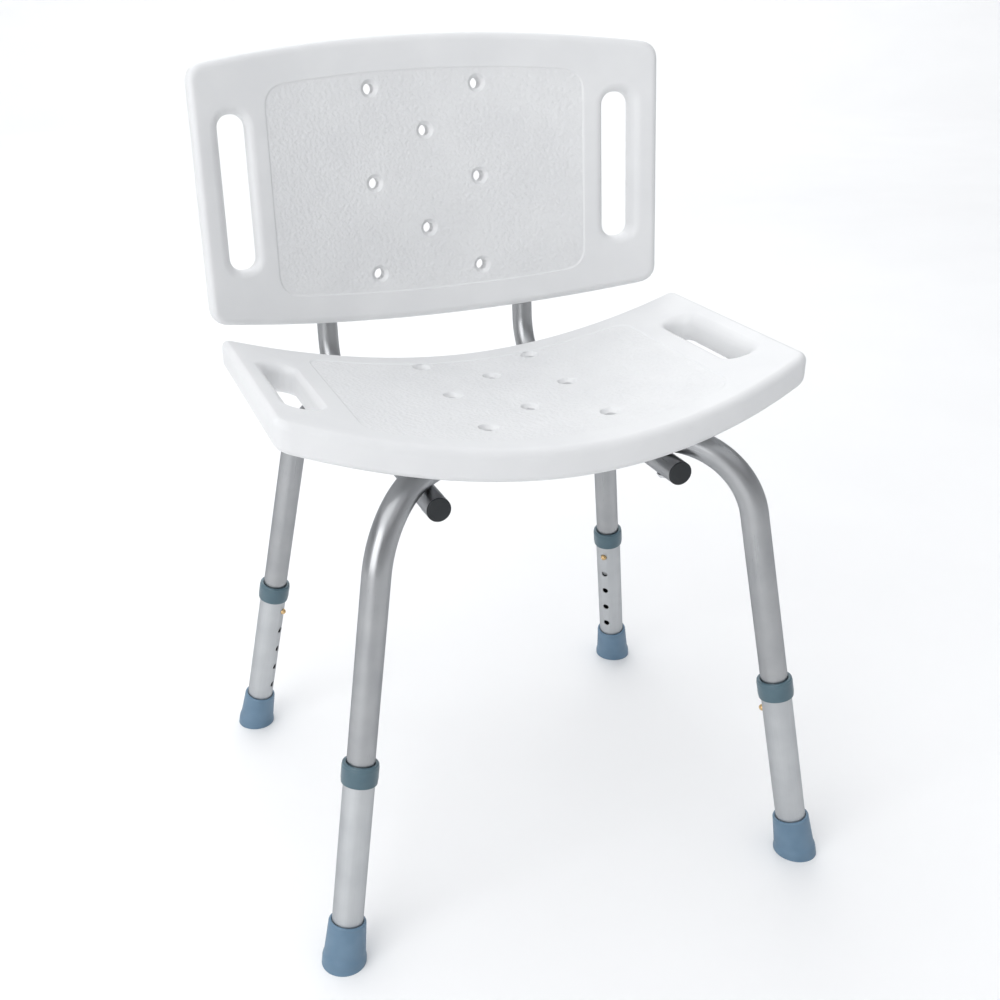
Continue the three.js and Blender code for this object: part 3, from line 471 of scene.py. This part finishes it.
def foot(corner, rubber):
    """A flared rubber tip whose sole is cut level with the floor."""
    outer = OVER_SLEEVE + FOOT_BASE_WALL
    rim = OVER_SLEEVE + FOOT_RIM_WALL
    low = -2 * outer * math.tan(SPLAY)
    profile = [
        (0, low),
        (outer, low),
        (outer, FOOT_SOLE),
        (outer - FOOT_SHOULDER_IN, FOOT_SOLE + FOOT_SHOULDER),
        (rim, FOOT_HEIGHT - FOOT_RIM_DROP),
        (rim - FOOT_RIM_IN, FOOT_HEIGHT),
        (OVER_SLEEVE + FOOT_MOUTH_OUT, FOOT_HEIGHT),
        (OVER_SLEEVE, FOOT_HEIGHT - FOOT_MOUTH_DROP),
        (OVER_SLEEVE, SLEEVE_START - GAP),
        (0, SLEEVE_START - GAP),
    ]
    bm = turned(profile, {2: (2.2, 4), 3: (2.2, 4), 4: (0.7, 3), 5: (0.5, 3)})
    bmesh.ops.transform(bm, matrix=leg_frame(*CORNERS[corner]), verts=bm.verts)
    cut = bmesh.ops.bisect_plane(
        bm,
        geom=bm.verts[:] + bm.edges[:] + bm.faces[:],
        plane_co=(0, 0, 0),
        plane_no=(0, 0, -1),
        clear_outer=True,
    )
    rim_edges = [item for item in cut["geom_cut"] if isinstance(item, bmesh.types.BMEdge)]
    bmesh.ops.triangle_fill(bm, use_beauty=True, edges=rim_edges, normal=(0, 0, -1))
    outward(bm)
    node = f"foot_{corner}"
    piece = place(bm, f"foot_tip_{corner}", f"leg_{corner}", rubber, [node], 50)
    weigh_normals(piece)


def snap_button(corner, brass):
    """A domed pin through both tubes, with its flange inside the leg tube."""
    tip = SLEEVE_OUTER + BUTTON_PROUD
    profile = [
        (0, BUTTON_FLANGE_TOP - BUTTON_FLANGE_THICK),
        (BUTTON_FLANGE, BUTTON_FLANGE_TOP - BUTTON_FLANGE_THICK),
        (BUTTON_FLANGE, BUTTON_FLANGE_TOP),
        (BUTTON_RADIUS, BUTTON_FLANGE_TOP),
        (BUTTON_RADIUS, tip - DOME_START),
        (BUTTON_RADIUS - DOME_IN, tip - DOME_RISE),
        (0, tip),
    ]
    bm = turned(profile, {4: (1.2, 5), 5: (1.2, 5)}, 40)
    bmesh.ops.rotate(bm, verts=bm.verts, matrix=Matrix.Rotation(math.pi / 2, 3, "Y"))
    bmesh.ops.translate(bm, verts=bm.verts, vec=(0, 0, BUTTON_AT))
    bmesh.ops.transform(bm, matrix=leg_frame(*CORNERS[corner]), verts=bm.verts)
    node = f"snap_button_{corner}"
    piece = place(bm, f"button_{corner}", f"button_{corner}", brass, [node], 50)
    weigh_normals(piece)


def spring_clip(corner, steel):
    """A folded steel strip in the leg tube: one arm on the tube's wall, the other on the button."""
    line = [(CLIP_ARM, -CLIP_PAD), (CLIP_ARM, CLIP_PAD)]
    for i in range(CLIP_STEPS + 1):
        turn = math.pi * i / CLIP_STEPS
        across = (CLIP_ARM + CLIP_WALL_ARM) / 2 + CLIP_LOOP * math.cos(turn)
        line.append((across, CLIP_RISE + CLIP_LOOP * math.sin(turn)))
    line += [(CLIP_WALL_ARM, CLIP_PAD), (CLIP_WALL_ARM, -CLIP_PAD)]
    bm = bmesh.new()
    verts = [bm.verts.new((x, -CLIP_WIDTH / 2, BUTTON_AT + z)) for x, z in line]
    edges = [bm.edges.new(pair) for pair in zip(verts, verts[1:])]
    made = bmesh.ops.extrude_edge_only(bm, edges=edges)["geom"]
    far = [item for item in made if isinstance(item, bmesh.types.BMVert)]
    bmesh.ops.translate(bm, verts=far, vec=(0, CLIP_WIDTH, 0))
    outward(bm)
    stand = leg_frame(*CORNERS[corner])
    bmesh.ops.transform(bm, matrix=stand, verts=bm.verts)
    node = f"spring_clip_{corner}"
    piece = place(bm, f"folded_spring_{corner}", None, steel, [node], 50)
    shell = piece.modifiers.new("strip_thickness", "SOLIDIFY")
    shell.thickness = CLIP_THICK * MM
    shell.offset = 0
    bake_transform(piece)


# ---------------------------------------------------------------- moulded panels
def parabola(half, end, bow):
    """A curved edge, at height end at both ends and at end + bow in its middle."""
    return lambda x: end + bow * (1 - (x / half) ** 2)


def panel_ring(half, lower, upper, corner, inset, z):
    """The panel's outline, set in by some distance, at height z: curved edges, rounded corners."""
    reach = half - corner
    points = []

    def edge(curve, sign, shift):
        for i in range(EDGE_STEPS + 1):
            x = sign * reach * (2 * i / EDGE_STEPS - 1)
            points.append((x, curve(x) + shift, z))

    def rounded(x, curve, sign, shift, leaving):
        start = Vector((math.copysign(reach, x), curve(reach) + shift))
        knee = Vector((x, curve(half) + shift))
        end = Vector((x, curve(half) + sign * corner))
        arc = []
        for i in range(1, ARC_STEPS + 1):
            t = i / ARC_STEPS
            arc.append(start * (1 - t) ** 2 + knee * 2 * t * (1 - t) + end * t * t)
        for point in arc if leaving else reversed(arc):
            points.append((point.x, point.y, z))

    right, left = half - inset, inset - half
    edge(lower, 1, inset)
    rounded(right, lower, 1, inset, True)
    rounded(right, upper, -1, -inset, False)
    edge(upper, -1, -inset)
    rounded(left, upper, -1, -inset, True)
    rounded(left, lower, 1, inset, False)
    return points


# The step down into the recess: how far in, and the share of its depth
RECESS_STEP = [(-0.6, 0.0), (-0.1, 0.12), (0.5, 0.5), (1.1, 0.88), (1.7, 1.0)]
# A drain's dimple, as shares of its way inwards and of its depth
DIMPLE_CURVE = [(0.0, 0.0), (0.14, 0.1), (0.36, 0.36), (0.6, 0.64), (0.85, 0.88), (1.0, 1.0)]


def slot_ring(x, y, width, length, z):
    """A hand slot's outline: a long rectangle with large round corners."""
    radius = width * SLOT_CORNER_SHARE
    points = []
    for quarter in range(4):
        sx = 1 if quarter in (0, 3) else -1
        sy = 1 if quarter < 2 else -1
        for i in range(ARC_STEPS + 1):
            angle = math.pi / 2 * (quarter + i / ARC_STEPS)
            points.append(
                (
                    x + sx * (width / 2 - radius) + radius * math.cos(angle),
                    y + sy * (length / 2 - radius) + radius * math.sin(angle),
                    z,
                )
            )
    return points


def round_ring(x, y, radius, z, sides=HOLE_SIDES):
    turn = 2 * math.pi / sides
    return [
        (x + radius * math.cos(turn * i), y + radius * math.sin(turn * i), z) for i in range(sides)
    ]


def flat_panel(half, thick, corner, lower, upper, margins, slots, drains):
    """The panel drawn flat, sitter's face at z = 0: rounded edge, slots, drains, grained recess."""
    bm = bmesh.new()

    def outline(inset, z):
        return ring_of(bm, panel_ring(half, lower, upper, corner, inset, z))

    edge_rings = []
    for i in range(ARC_STEPS + 1):
        turn = math.pi / 2 * i / ARC_STEPS
        edge_rings.append(
            outline(FACE_ROUND * (1 - math.sin(turn)), -FACE_ROUND * (1 - math.cos(turn)))
        )
    for i in range(ARC_STEPS + 1):
        turn = math.pi / 2 * i / ARC_STEPS
        edge_rings.append(
            outline(REAR_ROUND * (1 - math.cos(turn)), REAR_ROUND * (1 - math.sin(turn)) - thick)
        )
    face_edge, rear_edge = stack(bm, edge_rings)
    face_holes, rear_holes, recess_holes = [], [], []

    for x, y, width, length in slots:
        rings = []
        for i in range(ARC_STEPS + 1):
            turn = math.pi / 2 * i / ARC_STEPS
            grow = 2 * SLOT_FLARE * (1 - math.sin(turn))
            sink = SLOT_DEPTH * (1 - math.cos(turn))
            rings.append(slot_ring(x, y, width + grow, length + grow, -sink))
        for i in range(ARC_STEPS + 1):
            turn = math.pi / 2 * i / ARC_STEPS
            grow = 2 * SLOT_FLARE * (1 - math.cos(turn))
            sink = SLOT_DEPTH * (1 - math.sin(turn))
            rings.append(slot_ring(x, y, width + grow, length + grow, sink - thick))
        first, last = stack(bm, [ring_of(bm, ring) for ring in rings])
        face_holes.append(first)
        rear_holes.append(last)

    for x, y in drains:
        rings = []
        for inward, sink in DIMPLE_CURVE:
            radius = DRAIN_DIMPLE + (DRAIN_RADIUS - DRAIN_DIMPLE) * inward
            depth = RECESS_DEPTH + (DRAIN_DEPTH - RECESS_DEPTH) * sink
            rings.append(round_ring(x, y, radius, -depth))
        for inward, sink in reversed(DIMPLE_CURVE):
            radius = DRAIN_DIMPLE + (DRAIN_RADIUS - DRAIN_DIMPLE) * inward
            rings.append(round_ring(x, y, radius, DRAIN_BEHIND * sink - thick))
        first, last = stack(bm, [ring_of(bm, ring) for ring in rings])
        recess_holes.append(first)
        rear_holes.append(last)

    def border(inset, z):
        return ring_of(
            bm,
            panel_ring(
                half - RECESS_IN,
                lambda x: lower(x) + margins[0],
                lambda x: upper(x) - margins[1],
                RECESS_CORNER,
                inset,
                z,
            ),
        )

    recess_edge, recess_floor = stack(
        bm, [border(inset, -RECESS_DEPTH * sink) for inset, sink in RECESS_STEP]
    )
    fill(bm, [face_edge, recess_edge, *face_holes], 0)
    fill(bm, [recess_floor, *recess_holes], 1)
    return bm, rear_edge, rear_holes


def cut_along(bm, faces, points, normal):
    """Cuts some faces by parallel planes through points."""
    for point in points:
        parts = {v for f in faces for v in f.verts}
        edges = {e for f in faces for e in f.edges}
        made = bmesh.ops.bisect_plane(
            bm, geom=list(parts) + list(edges) + list(faces), plane_co=point, plane_no=normal
        )
        faces = [item for item in made["geom"] if isinstance(item, bmesh.types.BMFace)]
    return faces


def strips(bm, half):
    """Cuts a flat panel crosswise into narrow strips, so that it can be bent."""
    count = round(half / PANEL_STRIP)
    planes = [(half * i / count, 0, 0) for i in range(-count + 1, count)]
    cut_along(bm, bm.faces[:], planes, (1, 0, 0))


def seat_sag(x):
    """How much higher the seat is at x than in its middle."""
    return SEAT_SAG * abs(x / SEAT_HALF) ** SEAT_SAG_POWER


def channel_roof(x, y):
    """Height that the seat's underside is lifted to where the leg bows lie in it."""
    roof = 0.0
    round_way = LEG_OUTER + 2 * GAP
    for side in (-1, 1):
        direction = bow_direction(side)
        along = abs(x * direction.x + y * direction.y)
        aside = abs(x * direction.y - y * direction.x)
        if aside < round_way:
            roof = max(roof, BOW_HEIGHT + math.sqrt(round_way**2 - aside**2))
        lap_half = LEG_OUTER * LAP_WIDEN + 2 * GAP
        if aside < lap_half and along < LAP_HALF + LAP_TAPER:
            roof = max(roof, BOW_HEIGHT + LEG_OUTER + 2 * GAP)
    return roof


def seat(plastic):
    """The seat: lowest in its middle, with channels underneath for the leg bows."""
    lower = parabola(SEAT_HALF, SEAT_FRONT, -SEAT_FRONT_BOW)
    upper = parabola(SEAT_HALF, SEAT_REAR, -SEAT_REAR_HOLLOW)
    slot_x = SEAT_HALF - SEAT_SLOT_IN
    slots = [(side * slot_x, SEAT_SLOT_Y, SEAT_SLOT_WIDTH, SEAT_SLOT_LENGTH) for side in (-1, 1)]
    bm, rear_edge, rear_holes = flat_panel(
        SEAT_HALF, SEAT_THICK, SEAT_CORNER, lower, upper, SEAT_MARGINS, slots, SEAT_DRAINS
    )
    vent = [round_ring(VENT_X, 0, VENT_RADIUS, z - SEAT_THICK, VENT_SIDES) for z in (0, VENT_DEPTH)]
    mouth, end = stack(bm, [ring_of(bm, ring) for ring in vent])
    fill(bm, [end])
    fill(bm, [rear_edge, mouth, *rear_holes])
    outward(bm)
    strips(bm, SEAT_HALF)
    under = [
        f
        for f in bm.faces
        if max(v.co.z for v in f.verts) < NEAR - SEAT_THICK
        and max(abs(v.co.x) for v in f.verts) < CHANNEL_END
    ]
    for side in (-1, 1):
        direction = bow_direction(side)
        across = Vector((-direction.y, direction.x, 0))
        marks = [across * o for o in CHANNEL_MARKS] + [-across * o for o in CHANNEL_MARKS if o]
        under = cut_along(bm, under, marks, across)
    for vert in bm.verts:
        flat = vert.co.z
        vert.co.z += SEAT_MIDDLE + seat_sag(vert.co.x)
        if flat < NEAR - SEAT_THICK:
            vert.co.z = max(vert.co.z, channel_roof(vert.co.x, vert.co.y))
    weigh_normals(place(bm, "seat_moulding", "frame", plastic, ["seat_panel"], 50))


def back(plastic):
    """The back: curved round the sitter, leaning back, with a shallow groove for each back tube."""
    lower = parabola(BACK_HALF, 0, -BACK_BOTTOM_BOW)
    upper = parabola(BACK_HALF, BACK_END, BACK_TOP_BOW)
    slot_x = BACK_HALF - BACK_SLOT_IN
    slots = [(side * slot_x, BACK_SLOT_Z, BACK_SLOT_WIDTH, BACK_SLOT_LENGTH) for side in (-1, 1)]
    bm, rear_edge, rear_holes = flat_panel(
        BACK_HALF, BACK_THICK, BACK_CORNER, lower, upper, BACK_MARGINS, slots, BACK_DRAINS
    )
    fill(bm, [rear_edge, *rear_holes])
    outward(bm)
    strips(bm, BACK_HALF)
    clear = BACK_OUTER + 2 * GAP
    for vert in bm.verts:
        x, height, behind = vert.co.x, vert.co.y, back_bend(vert.co.x) - vert.co.z
        aside = abs(abs(x) - CROSS_X)
        if vert.co.z < NEAR - BACK_THICK and aside < clear:
            behind = min(behind, BACK_TUBE_BEHIND - math.sqrt(clear**2 - aside**2))
        vert.co = (x, behind, height)
    bmesh.ops.transform(bm, matrix=BACK_FRAME, verts=bm.verts)
    bmesh.ops.recalc_face_normals(bm, faces=bm.faces)
    weigh_normals(place(bm, "back_moulding", "frame", plastic, ["back_panel"], 50))


# ---------------------------------------------------------------- fasteners
def hex_bolt(length):
    """A hexagon bolt pointing up +Z, with its head below 0 and its shank above."""
    bm = bmesh.new()
    head = bmesh.ops.create_circle(
        bm,
        cap_ends=True,
        segments=6,
        radius=BOLT_HEAD,
        matrix=Matrix.Translation((0, 0, -BOLT_HEAD_HEIGHT)),
    )
    made = bmesh.ops.extrude_face_region(bm, geom=bm.faces[:])["geom"]
    top = [item for item in made if isinstance(item, bmesh.types.BMVert)]
    bmesh.ops.translate(bm, verts=top, vec=(0, 0, BOLT_HEAD_HEIGHT))
    outward(bm)
    crown = [e for e in bm.edges if all(v in head["verts"] for v in e.verts)]
    bmesh.ops.bevel(
        bm,
        geom=crown,
        offset=BOLT_CHAMFER,
        offset_type="OFFSET",
        segments=3,
        profile=0.5,
        affect="EDGES",
        material=-1,
    )
    bmesh.ops.create_cone(
        bm,
        cap_ends=True,
        segments=HOLE_SIDES,
        radius1=BOLT_RADIUS,
        radius2=BOLT_RADIUS,
        depth=length,
        matrix=Matrix.Translation((0, 0, length / 2)),
    )
    return bm


def fasteners(steel):
    """Bolts and washers up through the frame into the seat, and screws into the back."""
    places = {name: (sx * CROSS_X, sy * CROSS_Y) for name, (sx, sy) in CORNERS.items()}
    undersides = {name: BACK_TUBE_HEIGHT - BACK_OUTER for name in CORNERS}
    places["centre"] = (0.0, 0.0)
    undersides["centre"] = BOW_HEIGHT - GAP / 2 - LAP_HEIGHT
    insert_top = BOW_HEIGHT + LEG_OUTER + GAP + INSERT_LENGTH
    for name, (x, y) in places.items():
        washer_base = undersides[name] - GAP - WASHER_THICK
        head_top = washer_base - GAP
        bm = hex_bolt(insert_top - BOLT_SHORT - head_top)
        bmesh.ops.translate(bm, verts=bm.verts, vec=(x, y, head_top))
        place(bm, f"bolt_{name}", "frame", steel, [f"frame_bolt_{name}"])
        hole = BOLT_RADIUS + GAP
        ring = [(hole, 0), (WASHER, 0), (WASHER, WASHER_THICK), (hole, WASHER_THICK)]
        bm = turned(ring, {1: (WASHER_EDGE, 3), 2: (WASHER_EDGE, 3)})
        bmesh.ops.translate(bm, verts=bm.verts, vec=(x, y, washer_base))
        place(bm, f"washer_{name}", "frame", steel, [f"bolt_washer_{name}"])
    for hand, side in HANDS.items():
        for level, height in SCREW_HEIGHTS.items():
            head = BACK_FRAME @ Vector((side * CROSS_X, BACK_TUBE_BEHIND + BACK_OUTER + GAP, height))
            forward = BACK_FRAME.to_3x3() @ Vector((0, -1, 0))
            bm = hex_bolt(2 * (BACK_OUTER + GAP) + INSERT_LENGTH - BOLT_SHORT)
            bmesh.ops.transform(bm, matrix=aimed(head, forward), verts=bm.verts)
            node = f"back_screw_{level}_{hand}"
            place(bm, f"screw_{level}_{hand}", "frame", steel, [node])


# ---------------------------------------------------------------- finishes
PATTERN_LOW, PATTERN_HIGH = 0.3, 0.7  # where most of a noise pattern's values lie


class Finish:
    """A node material that is built up from a Principled shader."""

    def __init__(self, name, color, roughness, metallic=0.0):
        self.material = bpy.data.materials.new(name)
        self.material.use_nodes = True
        self.nodes = self.material.node_tree.nodes
        self.links = self.material.node_tree.links
        self.shader = self.nodes["Principled BSDF"]
        self.shader.inputs["Base Color"].default_value = (*color, 1)
        self.shader.inputs["Roughness"].default_value = roughness
        self.shader.inputs["Metallic"].default_value = metallic

    def node(self, kind, **settings):
        made = self.nodes.new(kind)
        for key, value in settings.items():
            setattr(made, key, value)
        return made

    def link(self, source, target):
        self.links.new(source, target)

    def place_from(self, attribute=None, scale=(1, 1, 1)):
        """Coordinates for a pattern: the object's, or a point attribute, stretched by scale."""
        if attribute:
            source = self.node("ShaderNodeAttribute", attribute_name=attribute).outputs["Vector"]
        else:
            source = self.node("ShaderNodeTexCoord").outputs["Object"]
        mapping = self.node("ShaderNodeMapping")
        mapping.inputs["Scale"].default_value = scale
        self.link(source, mapping.inputs["Vector"])
        return mapping.outputs["Vector"]

    def noise(self, where, scale, detail=3.0, rough=0.5):
        made = self.node("ShaderNodeTexNoise")
        made.inputs["Scale"].default_value = scale
        made.inputs["Detail"].default_value = detail
        made.inputs["Roughness"].default_value = rough
        self.link(where, made.inputs["Vector"])
        return made.outputs["Fac"]

    def pebbles(self, where, scale, smooth):
        """Rounded cells, as on grained leather."""
        made = self.node("ShaderNodeTexVoronoi", feature="SMOOTH_F1")
        made.inputs["Scale"].default_value = scale
        made.inputs["Smoothness"].default_value = smooth
        self.link(where, made.inputs["Vector"])
        return made.outputs["Distance"]

    def span(self, value, low, high):
        """Spreads a noise pattern over a range of numbers."""
        made = self.node("ShaderNodeMapRange")
        for name, number in (
            ("From Min", PATTERN_LOW),
            ("From Max", PATTERN_HIGH),
            ("To Min", low),
            ("To Max", high),
        ):
            made.inputs[name].default_value = number
        self.link(value, made.inputs["Value"])
        return made.outputs["Result"]

    def tint(self, value, dark, light):
        """Colours the surface by a noise pattern, from dark to light."""
        ramp = self.node("ShaderNodeValToRGB")
        ramp.color_ramp.elements[0].position = PATTERN_LOW
        ramp.color_ramp.elements[1].position = PATTERN_HIGH
        ramp.color_ramp.elements[0].color = (*dark, 1)
        ramp.color_ramp.elements[1].color = (*light, 1)
        self.link(value, ramp.inputs["Fac"])
        self.link(ramp.outputs["Color"], self.shader.inputs["Base Color"])

    def bump(self, height, strength, distance, after=None):
        """Raises the surface by a pattern, on top of an earlier bump."""
        made = self.node("ShaderNodeBump")
        made.inputs["Strength"].default_value = strength
        made.inputs["Distance"].default_value = distance
        self.link(height, made.inputs["Height"])
        if after is not None:
            self.link(after, made.inputs["Normal"])
        self.link(made.outputs["Normal"], self.shader.inputs["Normal"])
        return made.outputs["Normal"]

    def roughness(self, value):
        self.link(value, self.shader.inputs["Roughness"])


def panel_finish(name, grained):
    """White polyethylene: satin smooth on the border, pebbled like leather in the recess."""
    finish = Finish(name, (0.70, 0.71, 0.72), 0.45)
    finish.shader.inputs["Subsurface Weight"].default_value = 0.05
    finish.shader.inputs["Subsurface Radius"].default_value = (0.006, 0.006, 0.006)
    where = finish.place_from()
    cloud = finish.noise(where, 14.0, 4.0)
    finish.tint(cloud, (0.69, 0.695, 0.703), (0.732, 0.737, 0.742))
    scuff = finish.noise(finish.place_from(scale=(1.0, 4.0, 1.0)), 160.0, 6.0, 0.7)
    finish.roughness(finish.span(scuff, 0.40, 0.54))
    fine = finish.bump(finish.noise(where, 1500.0, 2.0), 0.12, 0.0002)
    if grained:
        pebble = finish.pebbles(where, 260.0, 0.5)
        coarse = finish.noise(where, 240.0, 2.0, 0.5)
        rolled = finish.bump(pebble, 0.45, 0.0009, fine)
        finish.bump(coarse, 0.5, 0.0012, rolled)
    return finish.material


def metal_finish(name, dark, light, rough_low, rough_high):
    """Drawn aluminium: fine lines along the tube, faint cloudiness, small handling marks, and
    glancing edges darkened by a painted reflection.
    """
    finish = Finish(name, light, rough_high, 1.0)
    # Grey edge tint: a painted reflection of dark surroundings, darkening the metal at its glancing
    # edges.
    finish.shader.inputs["Specular Tint"].default_value = (0.55, 0.56, 0.58, 1)
    lines = finish.noise(finish.place_from("drawn", (1, 1, 0.02)), 900.0, 4.0, 0.6)
    cloud = finish.noise(finish.place_from("drawn"), 30.0, 3.0)
    finish.tint(cloud, dark, light)
    finish.roughness(finish.span(lines, rough_low, rough_high))
    grain = finish.bump(lines, 0.12, 0.00006)
    marks = finish.noise(finish.place_from("drawn", (1, 1, 0.5)), 2200.0, 2.0)
    finish.bump(marks, 0.12, 0.00005, grain)
    return finish.material


def moulded_finish(name, dark, light, rough_low, rough_high, grain, depth):
    """Coloured plastic or rubber with a moulded grain."""
    finish = Finish(name, light, rough_high)
    where = finish.place_from()
    finish.tint(finish.noise(where, 60.0, 4.0), dark, light)
    finish.roughness(finish.span(finish.noise(where, 240.0, 3.0), rough_low, rough_high))
    finish.bump(finish.noise(where, grain, 3.0, 0.6), 0.25, depth)
    return finish.material


def fitting_finish(name, dark, light, rough_low, rough_high):
    """Small steel or brass fittings: plated, with a little mottling."""
    finish = Finish(name, light, rough_high, 1.0)
    where = finish.place_from()
    finish.tint(finish.noise(where, 260.0, 4.0), dark, light)
    finish.roughness(finish.span(finish.noise(where, 700.0, 3.0), rough_low, rough_high))
    finish.bump(finish.noise(where, 1800.0, 2.0), 0.15, 0.00004)
    return finish.material


# ---------------------------------------------------------------- stage, light and camera
# The floor's radius and height, in metres
FLOOR_PROFILE = [(0, 0), (3.0, 0), (6.5, 0), (9.5, 1.2), (10.5, 4.5), (10.5, 9.0)]
FLOOR_STEPS = 48
FACING_DOWN = -0.01  # a face whose normal dips further than this points down


def stage():
    """A pale floor that curves up into a wall all round."""
    bm = bmesh.new()
    verts = [bm.verts.new((radius, 0, height)) for radius, height in FLOOR_PROFILE]
    for pair in zip(verts, verts[1:]):
        bm.edges.new(pair)
    whole = bm.verts[:] + bm.edges[:]
    bmesh.ops.spin(
        bm,
        geom=whole,
        cent=(0, 0, 0),
        axis=(0, 0, 1),
        angle=2 * math.pi,
        steps=FLOOR_STEPS,
        use_merge=True,
    )
    bmesh.ops.remove_doubles(bm, verts=bm.verts, dist=MM)
    bmesh.ops.recalc_face_normals(bm, faces=bm.faces)
    bmesh.ops.reverse_faces(bm, faces=[f for f in bm.faces if f.normal.z < FACING_DOWN])
    mesh = bpy.data.meshes.new("floor")
    for face in bm.faces:
        face.smooth = True
    bm.to_mesh(mesh)
    bm.free()
    floor = bpy.data.objects.new("floor", mesh)
    bpy.context.scene.collection.objects.link(floor)
    finish = Finish("pale_floor", (0.90, 0.90, 0.90), 0.7)
    finish.shader.inputs["Specular IOR Level"].default_value = 0.2
    cloud = finish.noise(finish.place_from(), 3.0, 2.0)
    finish.tint(cloud, (0.895, 0.897, 0.90), (0.91, 0.912, 0.915))
    mesh.materials.append(finish.material)


def area_light(name, at, aim, size, power):
    light = bpy.data.lights.new(name, "AREA")
    light.shape = "RECTANGLE"
    light.size, light.size_y = size
    light.energy = power
    lamp = bpy.data.objects.new(name, light)
    lamp.location = at
    lamp.rotation_euler = (Vector(aim) - Vector(at)).to_track_quat("-Z", "Y").to_euler()
    bpy.context.scene.collection.objects.link(lamp)


def lighting():
    """Soft white light from all round, from above, from the left and on the wall behind."""
    world = bpy.data.worlds.new("studio")
    world.use_nodes = True
    sky = world.node_tree.nodes["Background"].inputs
    sky["Color"].default_value = (0.95, 0.965, 0.99, 1)
    sky["Strength"].default_value = 0.86
    bpy.context.scene.world = world
    middle = (0, 0, 0.4)
    area_light("overhead", (-0.9, 0.2, 2.8), middle, (4.0, 3.0), 28)
    area_light("key", (-2.2, -1.6, 1.5), middle, (2.2, 2.2), 38)
    area_light("backdrop_light", (1.6, 5.5, 4.5), (1.6, 5.6, 0), (7.0, 5.0), 155)
    area_light("back_light", (0.8, 2.4, 1.8), middle, (2.0, 1.2), 5)
    bpy.context.scene.view_settings.view_transform = "Standard"


# Angles in degrees, place in metres, lens in millimetres
CAMERA = {
    "azimuth": -16.406,
    "elevation": 25.025,
    "roll": -1.604,
    "location": (-0.4188, -1.0476, 0.8247),
    "lens": 43.54,
    "shift": (0.1076, 0.026),
    "sensor": 36.0,
}


def camera():
    """In front of the chair, to its left and above, and turned a little about its own axis."""
    data = bpy.data.cameras.new("camera")
    data.sensor_width = CAMERA["sensor"]
    data.lens = CAMERA["lens"]
    data.shift_x, data.shift_y = CAMERA["shift"]
    turn = math.radians(CAMERA["azimuth"])
    rise = math.radians(CAMERA["elevation"])
    roll = math.radians(CAMERA["roll"])
    behind = Vector(
        (math.sin(turn) * math.cos(rise), -math.cos(turn) * math.cos(rise), math.sin(rise))
    )
    right = Vector((math.cos(turn), math.sin(turn), 0))
    above = behind.cross(right)
    right, above = (
        right * math.cos(roll) + above * math.sin(roll),
        above * math.cos(roll) - right * math.sin(roll),
    )
    eye = bpy.data.objects.new("camera", data)
    pose = Matrix((right, above, behind)).transposed().to_4x4()
    eye.matrix_world = Matrix.Translation(CAMERA["location"]) @ pose
    bpy.context.scene.collection.objects.link(eye)
    bpy.context.scene.camera = eye


# ---------------------------------------------------------------- the chair
def chair():
    """Every piece of the chair in its finish; the inserts are the frame's own nodes."""
    border = panel_finish("white_polyethylene", False)
    recess = panel_finish("white_polyethylene_grained", True)
    bow_metal = metal_finish(
        "bright_anodised_aluminium", (0.36, 0.368, 0.38), (0.42, 0.427, 0.435), 0.27, 0.36
    )
    back_metal = metal_finish(
        "satin_anodised_aluminium", (0.34, 0.346, 0.356), (0.39, 0.395, 0.40), 0.26, 0.36
    )
    sleeve_metal = metal_finish(
        "matt_anodised_aluminium", (0.50, 0.515, 0.53), (0.56, 0.575, 0.585), 0.42, 0.54
    )
    # The bore's near-black colour, mottled a little, is painted shade inside the tubes.
    bore = Finish("tube_bore_painted_shade", (0.10, 0.10, 0.105), 0.6, 0.5)
    bore.tint(bore.noise(bore.place_from("drawn"), 120.0), (0.05, 0.05, 0.053), (0.09, 0.09, 0.092))
    slate = moulded_finish(
        "slate_plastic", (0.066, 0.120, 0.152), (0.082, 0.142, 0.174), 0.30, 0.42, 900.0, 0.0001
    )
    rubber = moulded_finish(
        "blue_grey_rubber", (0.108, 0.188, 0.272), (0.136, 0.222, 0.312), 0.42, 0.6, 1200.0, 0.0002
    )
    charcoal = moulded_finish(
        "charcoal_plastic", (0.006, 0.009, 0.012), (0.010, 0.013, 0.016), 0.38, 0.5, 900.0, 0.0002
    )
    brass = fitting_finish("button_brass", (0.55, 0.36, 0.16), (0.78, 0.56, 0.30), 0.22, 0.34)
    steel = fitting_finish("zinc_plate", (0.50, 0.51, 0.53), (0.64, 0.65, 0.66), 0.26, 0.4)
    spring_steel = fitting_finish("spring_steel", (0.34, 0.35, 0.37), (0.5, 0.51, 0.53), 0.24, 0.4)
    thread_brass = fitting_finish("insert_brass", (0.5, 0.38, 0.16), (0.66, 0.52, 0.26), 0.3, 0.45)

    seat([border, recess])
    back([border, recess])
    leg_bow(1, 1, "leg_bow_upper_tube", [bow_metal, bore.material])
    leg_bow(-1, -1, "leg_bow_lower_tube", [bow_metal, bore.material])
    for hand, side in HANDS.items():
        back_tube(hand, side, [back_metal, bore.material])
        x = side * CROSS_X
        front = aimed((x, BACK_FRONT, BACK_TUBE_HEIGHT), (0, 1, 0))
        end_plug(f"plug_front_{hand}", f"front_plug_{hand}", front, charcoal)
        top = BACK_FRAME @ Vector((x, BACK_TUBE_BEHIND, BACK_TOP + PLUG_FLANGE))
        down = BACK_FRAME.to_3x3() @ Vector((0, 0, -1))
        end_plug(f"plug_top_{hand}", f"top_plug_{hand}", aimed(top, down), charcoal)
    for corner in CORNERS:
        sleeve(corner, [sleeve_metal, bore.material])
        collar(corner, slate)
        foot(corner, rubber)
        snap_button(corner, brass)
        spring_clip(corner, spring_steel)
    fasteners(steel)
    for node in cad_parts.values():
        if not node.hide_render:
            node.data.materials.clear()
            node.data.materials.append(thread_brass)


camera()
lighting()
stage()
chair()
